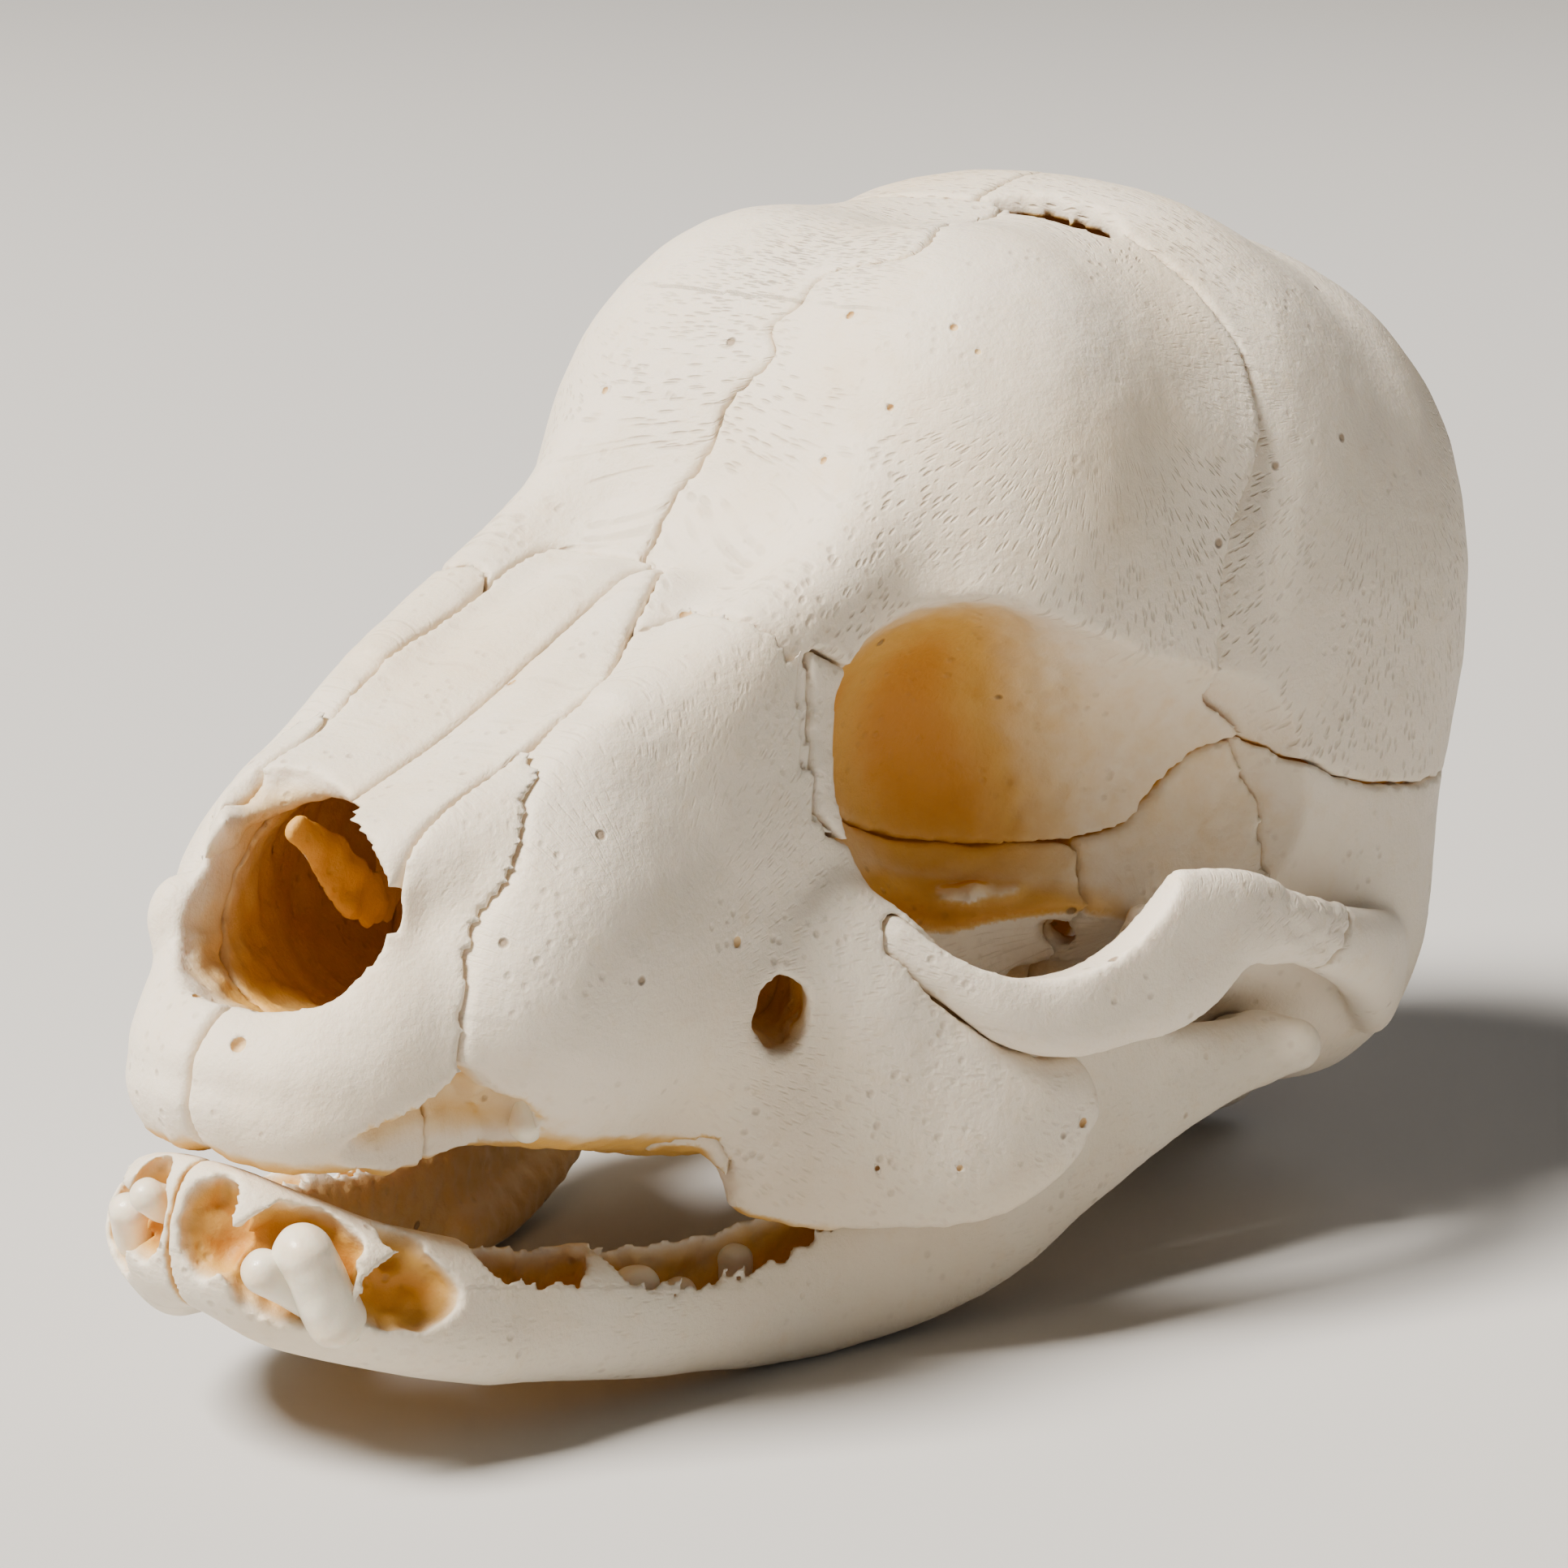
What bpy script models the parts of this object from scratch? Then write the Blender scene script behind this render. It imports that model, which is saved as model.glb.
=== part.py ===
"""A puppy's skull at life size, resting on its lower jaw: every bone and tooth is a solid of its own.

The skull is drawn in its own frame, in millimetres: the front of the upper jaw is at Y = 0, Y runs
backwards, X runs to the animal's left and Z = 0 is the level of the palate. The last step tips it
nose up into its resting pose, stands it on the floor and turns millimetres into metres.
"""

import math
from typing import NamedTuple

import bmesh
import bpy
import numpy as np
from mathutils import Euler, Matrix, Vector

MM = 0.001
NOSE_UP = math.radians(12.8)   # the dome is heavier than the snout, so the skull rocks back
GAP = 0.3                      # width of every suture between two bones
EDGE = 30.0                    # past every side of the skull

# Driving sizes in millimetres
WALL = 1.05                    # thickness of the vault
FORM_CELL = 0.75               # grain of the forms before they are thinned out
CAVITY_CELL = 1.1
SLIVER = 0.01                  # edges shorter than this are closed up
FAR = 9.0                      # stands for every distance that is too long to matter

BONE = (0.83, 0.77, 0.66, 1.0)
DEEP_BONE = (0.72, 0.50, 0.22, 1.0)    # thin bone inside the nose, with light coming through it
JAW_BONE = (0.80, 0.70, 0.54, 1.0)


def smooth_rows(stations, steps, level=False):
    """The stations with `steps` rows between each two, on one smooth line that can end level."""
    given = np.array(stations, float)
    padded = np.vstack([2 * given[0] - given[1], given, 2 * given[-1] - given[-2]])
    if level:
        padded[0, 1:], padded[-1, 1:] = given[1, 1:], given[-2, 1:]
    rows = []
    for a, b, c, d in zip(padded, padded[1:], padded[2:], padded[3:]):
        for t in np.arange(steps) / steps:
            rows.append(0.5 * (2 * b + (c - a) * t + (2 * a - 5 * b + 4 * c - d) * t ** 2
                               + (3 * b - a - 3 * c + d) * t ** 3))
    rows.append(given[-1])
    return np.array(rows)


def ring_points(squareness, taper, count=28):
    """Corners of a rounded section one unit in radius, as across and up."""
    turns = np.arange(count) / count * 2 * math.pi
    c, s = np.cos(turns), np.sin(turns)
    reach = (np.abs(c) ** squareness + np.abs(s) ** squareness) ** (-1.0 / squareness)
    u, v = c * reach, s * reach
    return u * (1.0 - taper * v), v


def skin_rings(form, rings):
    """Skins a row of rings, each a list of points, and closes both ends."""
    loops = [[form.verts.new(point) for point in ring] for ring in rings]
    for first, second in zip(loops, loops[1:]):
        for i in range(len(first)):
            j = (i + 1) % len(first)
            form.faces.new((first[i], first[j], second[j], second[i]))
    form.faces.new(loops[0][::-1])
    form.faces.new(loops[-1])


CAP_ROWS = tuple(math.sin(math.radians(a)) for a in (85, 75, 60, 45, 30, 15))


class Blob(NamedTuple):
    """An ellipsoid of a form: its centre, half sizes, lean about X, Y and Z, and how softly it melts in."""

    centre: tuple
    radii: tuple
    lean: tuple = (0.0, 0.0, 0.0)
    melt: float = 2.5

    def turn(self):
        return Euler([math.radians(a) for a in self.lean]).to_matrix()

    def distance(self, points, inset):
        found = np.full(len(points), FAR)
        radii = np.array(self.radii) - inset
        near = np.flatnonzero((np.abs(points - self.centre) < radii.max() + 5.0).all(1))
        local = (points[near] - self.centre) @ np.array(self.turn())
        reach = np.linalg.norm(local / radii, axis=1)
        slope = np.linalg.norm(local / radii ** 2, axis=1)
        found[near] = reach * (reach - 1.0) / np.maximum(slope, 1e-9)
        return found

    def add_to(self, form, inset):
        radii = Vector(self.radii) - Vector((inset, inset, inset))
        place = Matrix.LocRotScale(Vector(self.centre), self.turn().to_quaternion(), radii)
        bmesh.ops.create_uvsphere(form, u_segments=28, v_segments=18, radius=1.0, matrix=place)


class Loft(NamedTuple):
    """A thick form along Y. Each station is y, middle z, half width and half height."""

    stations: tuple
    squareness: float = 2.5
    taper: float = 0.0              # how much narrower the top is than the middle
    caps: tuple = (3.0, 3.0)        # length of the rounded front and rear
    melt: float = 3.0

    def size(self, points, inset):
        rows = smooth_rows(self.stations, 8, level=True)
        y = np.clip(points[:, 1], rows[0, 0], rows[-1, 0])
        middle, half_width, half_height = (np.interp(y, rows[:, 0], rows[:, i]) for i in (1, 2, 3))
        v = (points[:, 2] - middle) / (half_height - inset)
        u = points[:, 0] / (half_width - inset) / (1.0 - self.taper * np.clip(v, -1.0, 1.0))
        over = points[:, 1] - y
        w = np.where(over < 0.0, over / (self.caps[0] - inset), over / (self.caps[1] - inset))
        ring = (np.abs(u) ** self.squareness + np.abs(v) ** self.squareness) ** (2.0 / self.squareness)
        return np.sqrt(ring + w ** 2) - 1.0

    def distance(self, points, inset):
        here = self.size(points, inset)
        h = 0.05
        slope = np.stack([self.size(points + h * axis, inset) - here for axis in np.eye(3)], 1) / h
        return here / np.maximum(np.linalg.norm(slope, axis=1), 0.02)

    def add_to(self, form, inset):
        rows = smooth_rows(self.stations, 4, level=True)
        u, v = ring_points(self.squareness, self.taper)
        front, rear = self.caps[0] - inset, self.caps[1] - inset
        placed = [(rows[0, 0] - front * s, math.sqrt(1 - s * s), rows[0]) for s in CAP_ROWS]
        placed += [(row[0], 1.0, row) for row in rows]
        placed += [(rows[-1, 0] + rear * s, math.sqrt(1 - s * s), rows[-1]) for s in CAP_ROWS[::-1]]
        skin_rings(form, [[(a * (row[2] - inset) * share, y, row[1] + b * (row[3] - inset) * share)
                           for a, b in zip(u, v)] for y, share, row in placed])


class Bar(NamedTuple):
    """A thin bar along a smooth line. Each station is x, y, z, half width across and half height up."""

    stations: tuple
    squareness: float = 2.0
    melt: float = 2.0
    caps: tuple = (1.0, 1.0)        # length of the rounded ends, in half thicknesses

    def frames(self, rows):
        """The bar's own directions at each row: along it, across it and up."""
        along = np.gradient(rows[:, :3], axis=0)
        along /= np.linalg.norm(along, axis=1, keepdims=True)
        across = np.cross(along, (0.0, 0.0, 1.0))
        across /= np.linalg.norm(across, axis=1, keepdims=True)
        return along, across, np.cross(across, along)

    def distance(self, points, inset):
        rows = smooth_rows(self.stations, 4)
        frames = self.frames(rows)
        best = np.full(len(points), np.inf)
        found = np.full(len(points), FAR)
        for i in range(len(rows) - 1):
            start, end = rows[i, :3], rows[i + 1, :3]
            reach = end - start
            room = rows[i:i + 2, 3:].max() * 1.5 + 4.0
            near = np.flatnonzero((np.abs(points - (start + end) / 2) < room + np.abs(reach)).all(1))
            if not len(near):
                continue
            local = points[near] - start
            t = np.clip(local @ reach / (reach @ reach), 0.0, 1.0)[:, None]
            offset = local - t * reach
            gap = (offset ** 2).sum(1)
            closer = gap < best[near]
            near, t, offset = near[closer], t[closer], offset[closer]
            best[near] = gap[closer]
            half = rows[i, 3:] * (1 - t) + rows[i + 1, 3:] * t - inset
            along, across, upward = (f[i] * (1 - t) + f[i + 1] * t for f in frames)
            u = (offset * across).sum(1) / half[:, 0]
            v = (offset * upward).sum(1) / half[:, 1]
            w = (offset * along).sum(1) / half.min(1)
            w = w / np.where(w < 0.0, self.caps[0], self.caps[1])
            ring = (np.abs(u) ** self.squareness + np.abs(v) ** self.squareness) ** (2.0 / self.squareness)
            size = np.sqrt(ring + w ** 2)
            length = np.linalg.norm(offset, axis=1)
            found[near] = np.where(size < 0.25, -0.7 * half.min(1),
                                   length * (1.0 - 1.0 / np.maximum(size, 1e-6)))
        return found

    def add_to(self, form, inset):
        rows = smooth_rows(self.stations, 4)
        along, across, upward = self.frames(rows)
        u, v = ring_points(self.squareness, 0.0, 16)
        rings = [(row, np.zeros(3), 1.0, side, rise) for row, side, rise in zip(rows, across, upward)]
        ends = []
        for row, go, side, rise, cap in ((rows[0], -along[0], across[0], upward[0], self.caps[0]),
                                         (rows[-1], along[-1], across[-1], upward[-1], self.caps[1])):
            length = (min(row[3:]) - inset) * cap
            ends.append([(row, go * length * s, math.sqrt(1 - s * s), side, rise) for s in CAP_ROWS])
        rings = ends[0] + rings + ends[1][::-1]
        skin_rings(form, [[row[:3] + shift + side * a * (row[3] - inset) * share
                           + rise * b * (row[4] - inset) * share for a, b in zip(u, v)]
                          for row, shift, share, side, rise in rings])


def other_side(piece):
    """The same piece on the right of the skull."""
    if isinstance(piece, Blob):
        x, y, z = piece.centre
        a, b, c = piece.lean
        return piece._replace(centre=(-x, y, z), lean=(a, -b, -c))
    return piece._replace(stations=tuple((-s[0],) + tuple(s[1:]) for s in piece.stations))


def both(*pieces):
    return [side for piece in pieces for side in (piece, other_side(piece))]


def field(points, pieces, inset=0.0):
    """Signed distance to the pieces melted into one another: below zero inside."""
    total = None
    for piece in pieces:
        d = piece.distance(points, inset)
        if total is None:
            total = d
            continue
        h = np.clip(0.5 + 0.5 * (total - d) / piece.melt, 0.0, 1.0)
        total = total * (1 - h) + d * h - piece.melt * h * (1 - h)
    return total


def vertices_of(mesh):
    points = np.empty(len(mesh.vertices) * 3, np.float32)
    mesh.vertices.foreach_get("co", points)
    return points.reshape(-1, 3).astype(float)


def settle(mesh, pieces, inset):
    """Moves a mesh's vertices onto the smooth surface that its pieces melt into."""
    points = vertices_of(mesh)
    h = 0.02
    for _ in range(3):
        here = field(points, pieces, inset)
        slope = np.stack([field(points + h * axis, pieces, inset) - here for axis in np.eye(3)], 1) / h
        step = here[:, None] * slope / np.maximum((slope ** 2).sum(1), 0.25)[:, None]
        points -= np.clip(step, -0.4, 0.4)
    mesh.vertices.foreach_set("co", points.astype(np.float32).ravel())
    mesh.update()


def apply(obj):
    """Turns an object's modifiers into its mesh."""
    graph = bpy.context.evaluated_depsgraph_get()
    made = bpy.data.meshes.new_from_object(obj.evaluated_get(graph))
    obj.modifiers.clear()
    obj.data = made
    return obj


def form(name, pieces, cell, inset=0.0, keep=1.0):
    """One closed smooth form from blobs and bars, thinned to the share of faces to keep."""
    shape = bmesh.new()
    for piece in pieces:
        piece.add_to(shape, inset)
    mesh = bpy.data.meshes.new(name)
    shape.to_mesh(mesh)
    shape.free()
    obj = bpy.data.objects.new(name, mesh)
    workshop.objects.link(obj)
    remesh = obj.modifiers.new("melt", "REMESH")
    remesh.mode = "VOXEL"
    remesh.voxel_size = cell
    apply(obj)
    settle(obj.data, pieces, inset)
    if keep < 1.0:
        thin = obj.modifiers.new("thin", "DECIMATE")
        thin.ratio = keep
        apply(obj)
    return obj


def join(obj, others, operation, solver="EXACT"):
    """Cuts, joins or intersects a form with others, which are used up."""
    tools = bpy.data.collections.new("tools")
    bpy.context.scene.collection.children.link(tools)
    for other in others:
        tools.objects.link(other)
    boolean = obj.modifiers.new(operation.lower(), "BOOLEAN")
    boolean.operation = operation
    boolean.operand_type = "COLLECTION"
    boolean.collection = tools
    boolean.solver = solver
    apply(obj)
    for other in others:
        bpy.data.objects.remove(other)
    bpy.data.collections.remove(tools)
    return obj


BRAINCASE = [
    Loft(((33, 22.3, 13.4, 14.4), (42.5, 21.7, 16.6, 18.6), (51, 20.8, 17.0, 18.6)),
         squareness=2.5, caps=(8.5, 15.2)),
    *both(Blob((6.2, 34.5, 23.4), (7.8, 10.0, 13.1), melt=4.0)),
]
BASE = [
    *both(Blob((11.0, 54.0, 9.6), (5.0, 6.2, 6.2), melt=4.0),
          Blob((4.4, 59.4, 2.8), (2.2, 3.0, 2.4), melt=2.0),
          Bar(((6.0, 26, 6.4, 2.3, 4.2), (6.8, 33, 6.0, 2.0, 4.8), (8.0, 40, 6.6, 2.0, 4.8),
               (8.6, 46, 6.8, 2.0, 4.4)), melt=2.5)),
    Bar(((0, 34, 8.0, 6.0, 4.0), (0, 44, 5.5, 7.5, 4.0), (0, 54, 4.5, 8.0, 4.0)), melt=4.0),
]
SNOUT = [
    Loft(((4.5, 6.2, 5.4, 5.0), (8.5, 7.2, 8.2, 5.8), (12.5, 8.2, 9.6, 7.3),
          (17, 9.5, 10.3, 9.5), (21, 10.4, 10.4, 11.2), (26, 11.5, 10.5, 12.0)),
         squareness=3.5, taper=0.05, caps=(2.2, 3.0), melt=3.0),
    *both(Bar(((2.2, 6.0, 9.6, 2.5, 2.1), (2.2, 13, 13.8, 2.6, 2.3), (1.7, 20.4, 19.4, 2.0, 2.4)),
              melt=1.0, caps=(0.6, 1.0)),
          Blob((7.6, 12.0, 6.6), (3.3, 6.0, 5.9), melt=1.6),
          Bar(((8.9, 19.8, 4.8, 1.6, 4.2), (10.3, 22.0, 4.2, 1.6, 6.6), (11.8, 24.0, 3.2, 1.5, 6.2),
               (13.1, 26.0, 2.4, 1.3, 5.0), (14.6, 28.3, 1.9, 1.2, 3.8), (15.6, 30.6, 2.6, 1.1, 2.8),
               (16.1, 32.0, 3.6, 1.0, 1.8)), melt=2.0, squareness=2.4),
          Bar(((4.9, 6.2, 10.4, 1.0, 1.1), (5.1, 7.4, 11.0, 1.2, 1.3), (5.5, 9.8, 12.3, 1.3, 1.3),
               (6.3, 13.0, 15.0, 1.5, 1.7), (7.0, 16.3, 17.0, 1.6, 1.8),
               (7.6, 19.5, 19.3, 1.6, 1.8), (7.8, 22.5, 21.6, 1.6, 1.8), (7.2, 25.5, 24.5, 1.5, 1.8)),
              melt=3.0),
          Bar(((4.5, 5.4, -0.5, 0.45, 0.9), (4.7, 6.6, 0.0, 0.45, 1.0), (4.9, 8.0, 0.9, 0.5, 1.0)),
              melt=0.7),
          Bar(((1.2, 1.5, 1.2, 1.6, 2.8), (3.6, 2.6, 1.5, 1.8, 3.0), (5.6, 5.0, 3.0, 1.6, 3.0),
               (6.6, 8.0, 5.4, 1.4, 3.0)), melt=2.0)),
    Blob((-5.9, 4.0, 6.4), (1.1, 1.3, 1.6), melt=0.8),
    Blob((0, 15, 1.2), (8.0, 14.0, 2.0), melt=2.0),
]
ARCHES = both(
    Bar(((12.3, 24.4, 9.0, 1.0, 1.1), (14.3, 26.8, 7.7, 1.2, 1.4), (15.5, 28.8, 6.8, 1.3, 1.6),
         (16.5, 30.8, 7.2, 1.2, 2.1), (17.4, 33.0, 8.8, 1.1, 3.1), (18.2, 35.4, 10.0, 1.0, 3.1),
         (18.8, 38.0, 11.1, 1.0, 2.1), (19.1, 41.0, 10.9, 1.0, 1.5), (18.8, 45.0, 10.4, 1.1, 1.5),
         (17.6, 49.8, 9.6, 1.3, 2.0), (15.6, 54.0, 8.7, 1.3, 2.8)), squareness=2.3, melt=1.6))
ORBITS = both(Blob((14.2, 28.6, 15.0), (8.6, 8.8, 6.6), (-40, 0, 0)))
ARCH_ROOMS = both(Blob((14.2, 28.6, 15.6), (8.6, 7.0, 7.7)))
FOSSAE = both(Blob((18.8, 36.8, 13.7), (6.5, 9.3, 8.5), melt=5.0))
NASAL_CAVITY = [
    Loft(((-3.0, 7.8, 5.0, 3.1), (4.5, 7.3, 5.0, 4.0), (8.5, 7.6, 6.5, 4.5), (12.5, 8.7, 8.2, 6.1),
          (17, 10.2, 9.0, 8.1), (20, 11.2, 8.6, 8.6)), squareness=2.5, caps=(1.0, 1.6)),
    Bar(((0, 16, 7.0, 3.4, 3.6), (0, 24, 5.6, 3.2, 3.0), (0, 31, 3.4, 3.0, 2.4),
         (0, 38, -1.5, 3.0, 2.6)), melt=1.5),
    Blob((-2.4, 4.6, 11.9), (3.4, 2.0, 1.6), melt=0.6),
]
FORAMEN_MAGNUM = [Bar(((0, 55, 8.2, 4.4, 4.2), (0, 64, 6.6, 4.4, 4.2), (0, 74, 5.0, 4.4, 4.2)))]
INFRAORBITAL = [Bar(((13.6, 17.4, 5.3, 1.2, 1.5), (11.0, 19.6, 5.7, 1.2, 1.5), (7.4, 22.2, 6.6, 1.1, 1.4)))]
CANINE_POCKET = [Blob((7.4, 8.4, 0.4), (1.5, 1.6, 2.2))]
GUM_NOTCH = ("side", ((0.6, -3.0), (2.2, -0.6), (2.9, 0.4), (4.1, 1.2), (5.2, 2.0), (5.9, 3.1), (6.7, 2.9),
                      (7.4, 2.4), (8.6, 1.4), (9.8, 0.4), (10.3, -3.0)), 5.3, EDGE)
FONTANELLE = ((0.6, 39.2), (1.8, 38.8), (4.0, 38.4), (7.4, 38.5), (6.6, 39.9), (4.4, 39.9), (2.4, 39.7))

MANDIBLE = [
    Bar(((-1.4, 1.2, -3.8, 1.5, 2.1), (0.8, 1.2, -3.9, 1.5, 2.2), (2.9, 2.1, -4.35, 2.0, 2.25),
         (4.9, 4.7, -5.3, 2.35, 2.3), (6.4, 8.9, -6.1, 2.1, 2.5), (7.2, 12.4, -6.3, 1.9, 2.6),
         (8.0, 16.4, -6.2, 1.85, 2.65), (8.8, 20.4, -5.8, 1.7, 2.8), (9.5, 24.4, -5.1, 1.5, 3.2),
         (10.9, 28.8, -3.4, 1.3, 3.6), (12.1, 32.5, -1.5, 1.1, 3.7), (13.1, 36.2, 1.0, 1.0, 3.3),
         (14.2, 40.8, 3.4, 1.0, 2.5), (15.0, 46.4, 5.1, 1.0, 1.5)), squareness=2.1),
    Bar(((-1.0, 2.0, -6.0, 1.2, 1.2), (0.8, 2.1, -6.1, 1.2, 1.2), (2.7, 3.4, -6.9, 1.2, 1.25),
         (4.8, 6.4, -7.2, 1.4, 1.1), (6.4, 10.0, -7.3, 1.4, 0.9)), melt=2.0),
    Bar(((7.6, 24.0, -7.0, 0.8, 1.0), (9.2, 28.6, -6.1, 0.9, 1.1), (10.9, 33.4, -3.8, 0.9, 1.1),
         (12.4, 37.0, -0.6, 0.7, 0.9)), melt=1.5),
    Bar(((12.2, 33.5, 0.5, 0.9, 2.6), (13.0, 37.0, 4.6, 0.9, 2.3), (13.7, 38.8, 8.2, 0.7, 1.7),
         (14.0, 39.0, 10.3, 0.6, 1.1)), melt=1.5),
    Bar(((13.2, 47.2, 5.2, 1.1, 1.1), (16.4, 47.2, 5.6, 1.1, 1.1)), melt=1.5),
]
VOMER = ((7.6, 3.8), (12.5, 2.95), (17.0, 2.5), (20.0, 3.3), (19.6, 9.0), (14.0, 8.2), (9.4, 5.6))
# The free edge of the right scroll shows in the nose; the left one lies further back.
TURBINATES = {
    "left": Bar(((3.6, 12.0, 8.8, 0.45, 1.2), (4.4, 14.0, 8.9, 0.5, 1.5), (5.6, 15.6, 9.1, 0.5, 1.5),
                 (7.6, 16.8, 9.4, 0.5, 1.3)), caps=(1.5, 1.0)),
    "right": Bar(((-2.7, 6.2, 10.2, 0.35, 0.4), (-3.0, 8.4, 9.3, 0.35, 0.5), (-3.1, 11.0, 7.7, 0.35, 0.55),
                  (-5.0, 14.4, 8.0, 0.4, 0.9), (-7.6, 16.6, 9.2, 0.5, 1.2)), caps=(1.0, 1.0)),
}
BULLA = [Blob((8.0, 51.0, 3.0), (2.9, 3.9, 2.3), (8, 0, 12))]
ALVEOLI = [
    [Bar(((6.9, 9.7, -4.0, 1.35, 2.9), (7.6, 12.5, -4.1, 1.3, 2.9)), squareness=2.6)],
    [Bar(((8.1, 15.5, -4.1, 1.25, 2.8), (9.1, 20.4, -3.6, 1.15, 2.7), (9.9, 24.6, -2.2, 0.8, 1.8)),
         squareness=2.6)],
    [Blob((1.6, -0.1, -3.7), (1.2, 2.0, 2.1), (14, 0, -10))],
    [Blob((4.5, 1.7, -4.7), (1.9, 2.6, 2.3), (15, 0, -38))],
    [Blob((7.0, 5.2, -5.3), (1.2, 2.2, 1.5), (0, -20, -25))],
    [Blob((6.0, 5.4, -3.6), (0.9, 0.9, 1.6), (0, -15, -20))],
]
# Tooth germs of one lower jaw: centre of the root, centre of the tip, half width and thickness at the tip.
FRONT_GERMS = {
    "left": (((5.7, 3.2, -6.5), (4.9, 1.8, -4.2), 1.3, 1.1), ((4.7, 2.8, -5.9), (3.9, 0.9, -5.0), 0.9, 0.8)),
    "right": (((5.5, 3.6, -6.2), (4.6, 2.2, -4.6), 0.8, 0.7), ((1.8, 2.0, -4.0), (1.7, 0.2, -3.4), 0.7, 0.7)),
}
CHEEK_GERMS = (
    ((8.0, 17.2, -7.3), (8.0, 16.9, -5.3), 0.8, 1.05),
    ((8.4, 19.4, -7.2), (8.3, 19.2, -5.6), 0.65, 0.7),
    ((8.5, 22.3, -5.8), (8.4, 22.1, -4.3), 0.6, 0.75),
)

# Sutures seen from the side as (y, z), from above as (x, y).
CORONAL = ((37.6, 42.0), (38.3, 39.0), (38.9, 37.6), (39.4, 36.4), (40.2, 33.9), (40.4, 31.6),
           (40.1, 29.6), (39.2, 27.6), (38.5, 25.8), (38.6, 23.0), (39.5, 19.9), (42.5, 18.2))
FRONTAL_FOOT = ((42.5, 18.2), (40.9, 17.3), (39.7, 15.3), (38.3, 13.5), (33.0, 12.2), (28.0, 12.8),
                (24.0, 14.4))
SQUAMOUS = ((41.5, 18.7), (44.3, 17.6), (49.5, 16.8), (55.0, 17.2), (60.2, 18.0))
LAMBDOID = ((56.6, 42.0), (59.4, 36.0), (61.2, 29.0), (61.4, 23.0), (60.2, 18.0), (58.4, 12.5))
INCISIVE = ((7.6, -4.0), (6.9, 0.5), (5.8, 3.0), (5.5, 5.1), (5.9, 8.0), (6.9, 10.2), (8.2, 12.7),
            (10.6, 15.4), (12.6, 16.8))
NASAL_EDGE = {"left": ((4.9, 4.0), (4.8, 6.4), (4.7, 8.4), (4.9, 10.2), (5.0, 12.0), (4.6, 14.0),
                       (3.2, 16.6), (2.5, 18.2), (0.9, 21.2)),
              "right": ((4.9, 4.0), (4.7, 6.4), (4.7, 8.8), (5.1, 11.0), (5.4, 13.4), (5.3, 16.2),
                        (5.5, 18.0), (5.6, 20.2), (5.0, 21.5), (3.0, 21.6), (0.4, 21.6))}
FRONTAL_NOSE = {"left": ((-1.0, 16.8), (3.0, 16.7), (3.6, 17.3), (4.2, 18.7), (5.4, 18.4), (6.8, 17.7),
                         (8.3, 18.0), (9.4, 19.2), (10.0, 20.6), (11.0, 24.0)),
                "right": ((-1.0, 18.0), (5.2, 17.4), (6.2, 18.4), (7.4, 17.8), (8.4, 18.2), (9.4, 19.3),
                          (10.0, 20.6), (11.0, 24.0))}


def clear_scene():
    for obj in list(bpy.data.objects):
        bpy.data.objects.remove(obj)


clear_scene()
workshop = bpy.data.collections.new("workshop")
bpy.context.scene.collection.children.link(workshop)

def outward(outline, distance):
    """A closed outline grown by a distance."""
    points = [Vector(p) for p in outline]
    area = sum(a.x * b.y - b.x * a.y for a, b in zip(points, points[1:] + points[:1]))
    grown = []
    for before, here, after in zip(points[-1:] + points, points, points[1:] + points[:1]):
        a, b = (here - before).normalized(), (after - here).normalized()
        normal = Vector((a.y + b.y, -a.x - b.x)).normalized() * (1 if area > 0 else -1)
        grown.append(here + normal * distance / max(0.5, math.sqrt(max(0.0, (1 + a.dot(b)) / 2))))
    return grown


def prism(name, outline, seen, near, far, grow=0.0):
    """A closed block whose outline is drawn from the side (y, z) or from above (x, y)."""
    block = bmesh.new()
    points = outward(outline, grow) if grow else [Vector(p) for p in outline]
    near, far = near - grow, far + grow
    lay = {"side": lambda p, d: (d, p.x, p.y), "above": lambda p, d: (p.x, p.y, d)}[seen]
    first = [block.verts.new(lay(p, near)) for p in points]
    second = [block.verts.new(lay(p, far)) for p in points]
    block.faces.new(first)
    block.faces.new(second[::-1])
    for i in range(len(first)):
        j = (i + 1) % len(first)
        block.faces.new((first[i], second[i], second[j], first[j]))
    bmesh.ops.recalc_face_normals(block, faces=block.faces)
    bmesh.ops.triangulate(block, faces=block.faces)
    mesh = bpy.data.meshes.new(name)
    block.to_mesh(mesh)
    block.free()
    obj = bpy.data.objects.new(name, mesh)
    workshop.objects.link(obj)
    return obj


def mirror_x(obj):
    """Turns a block round to the right of the skull."""
    obj.data.transform(Matrix.Scale(-1.0, 4, (1, 0, 0)))
    obj.data.flip_normals()
    return obj


def copy_of(obj, name):
    twin = bpy.data.objects.new(name, obj.data.copy())
    workshop.objects.link(twin)
    return twin


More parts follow.
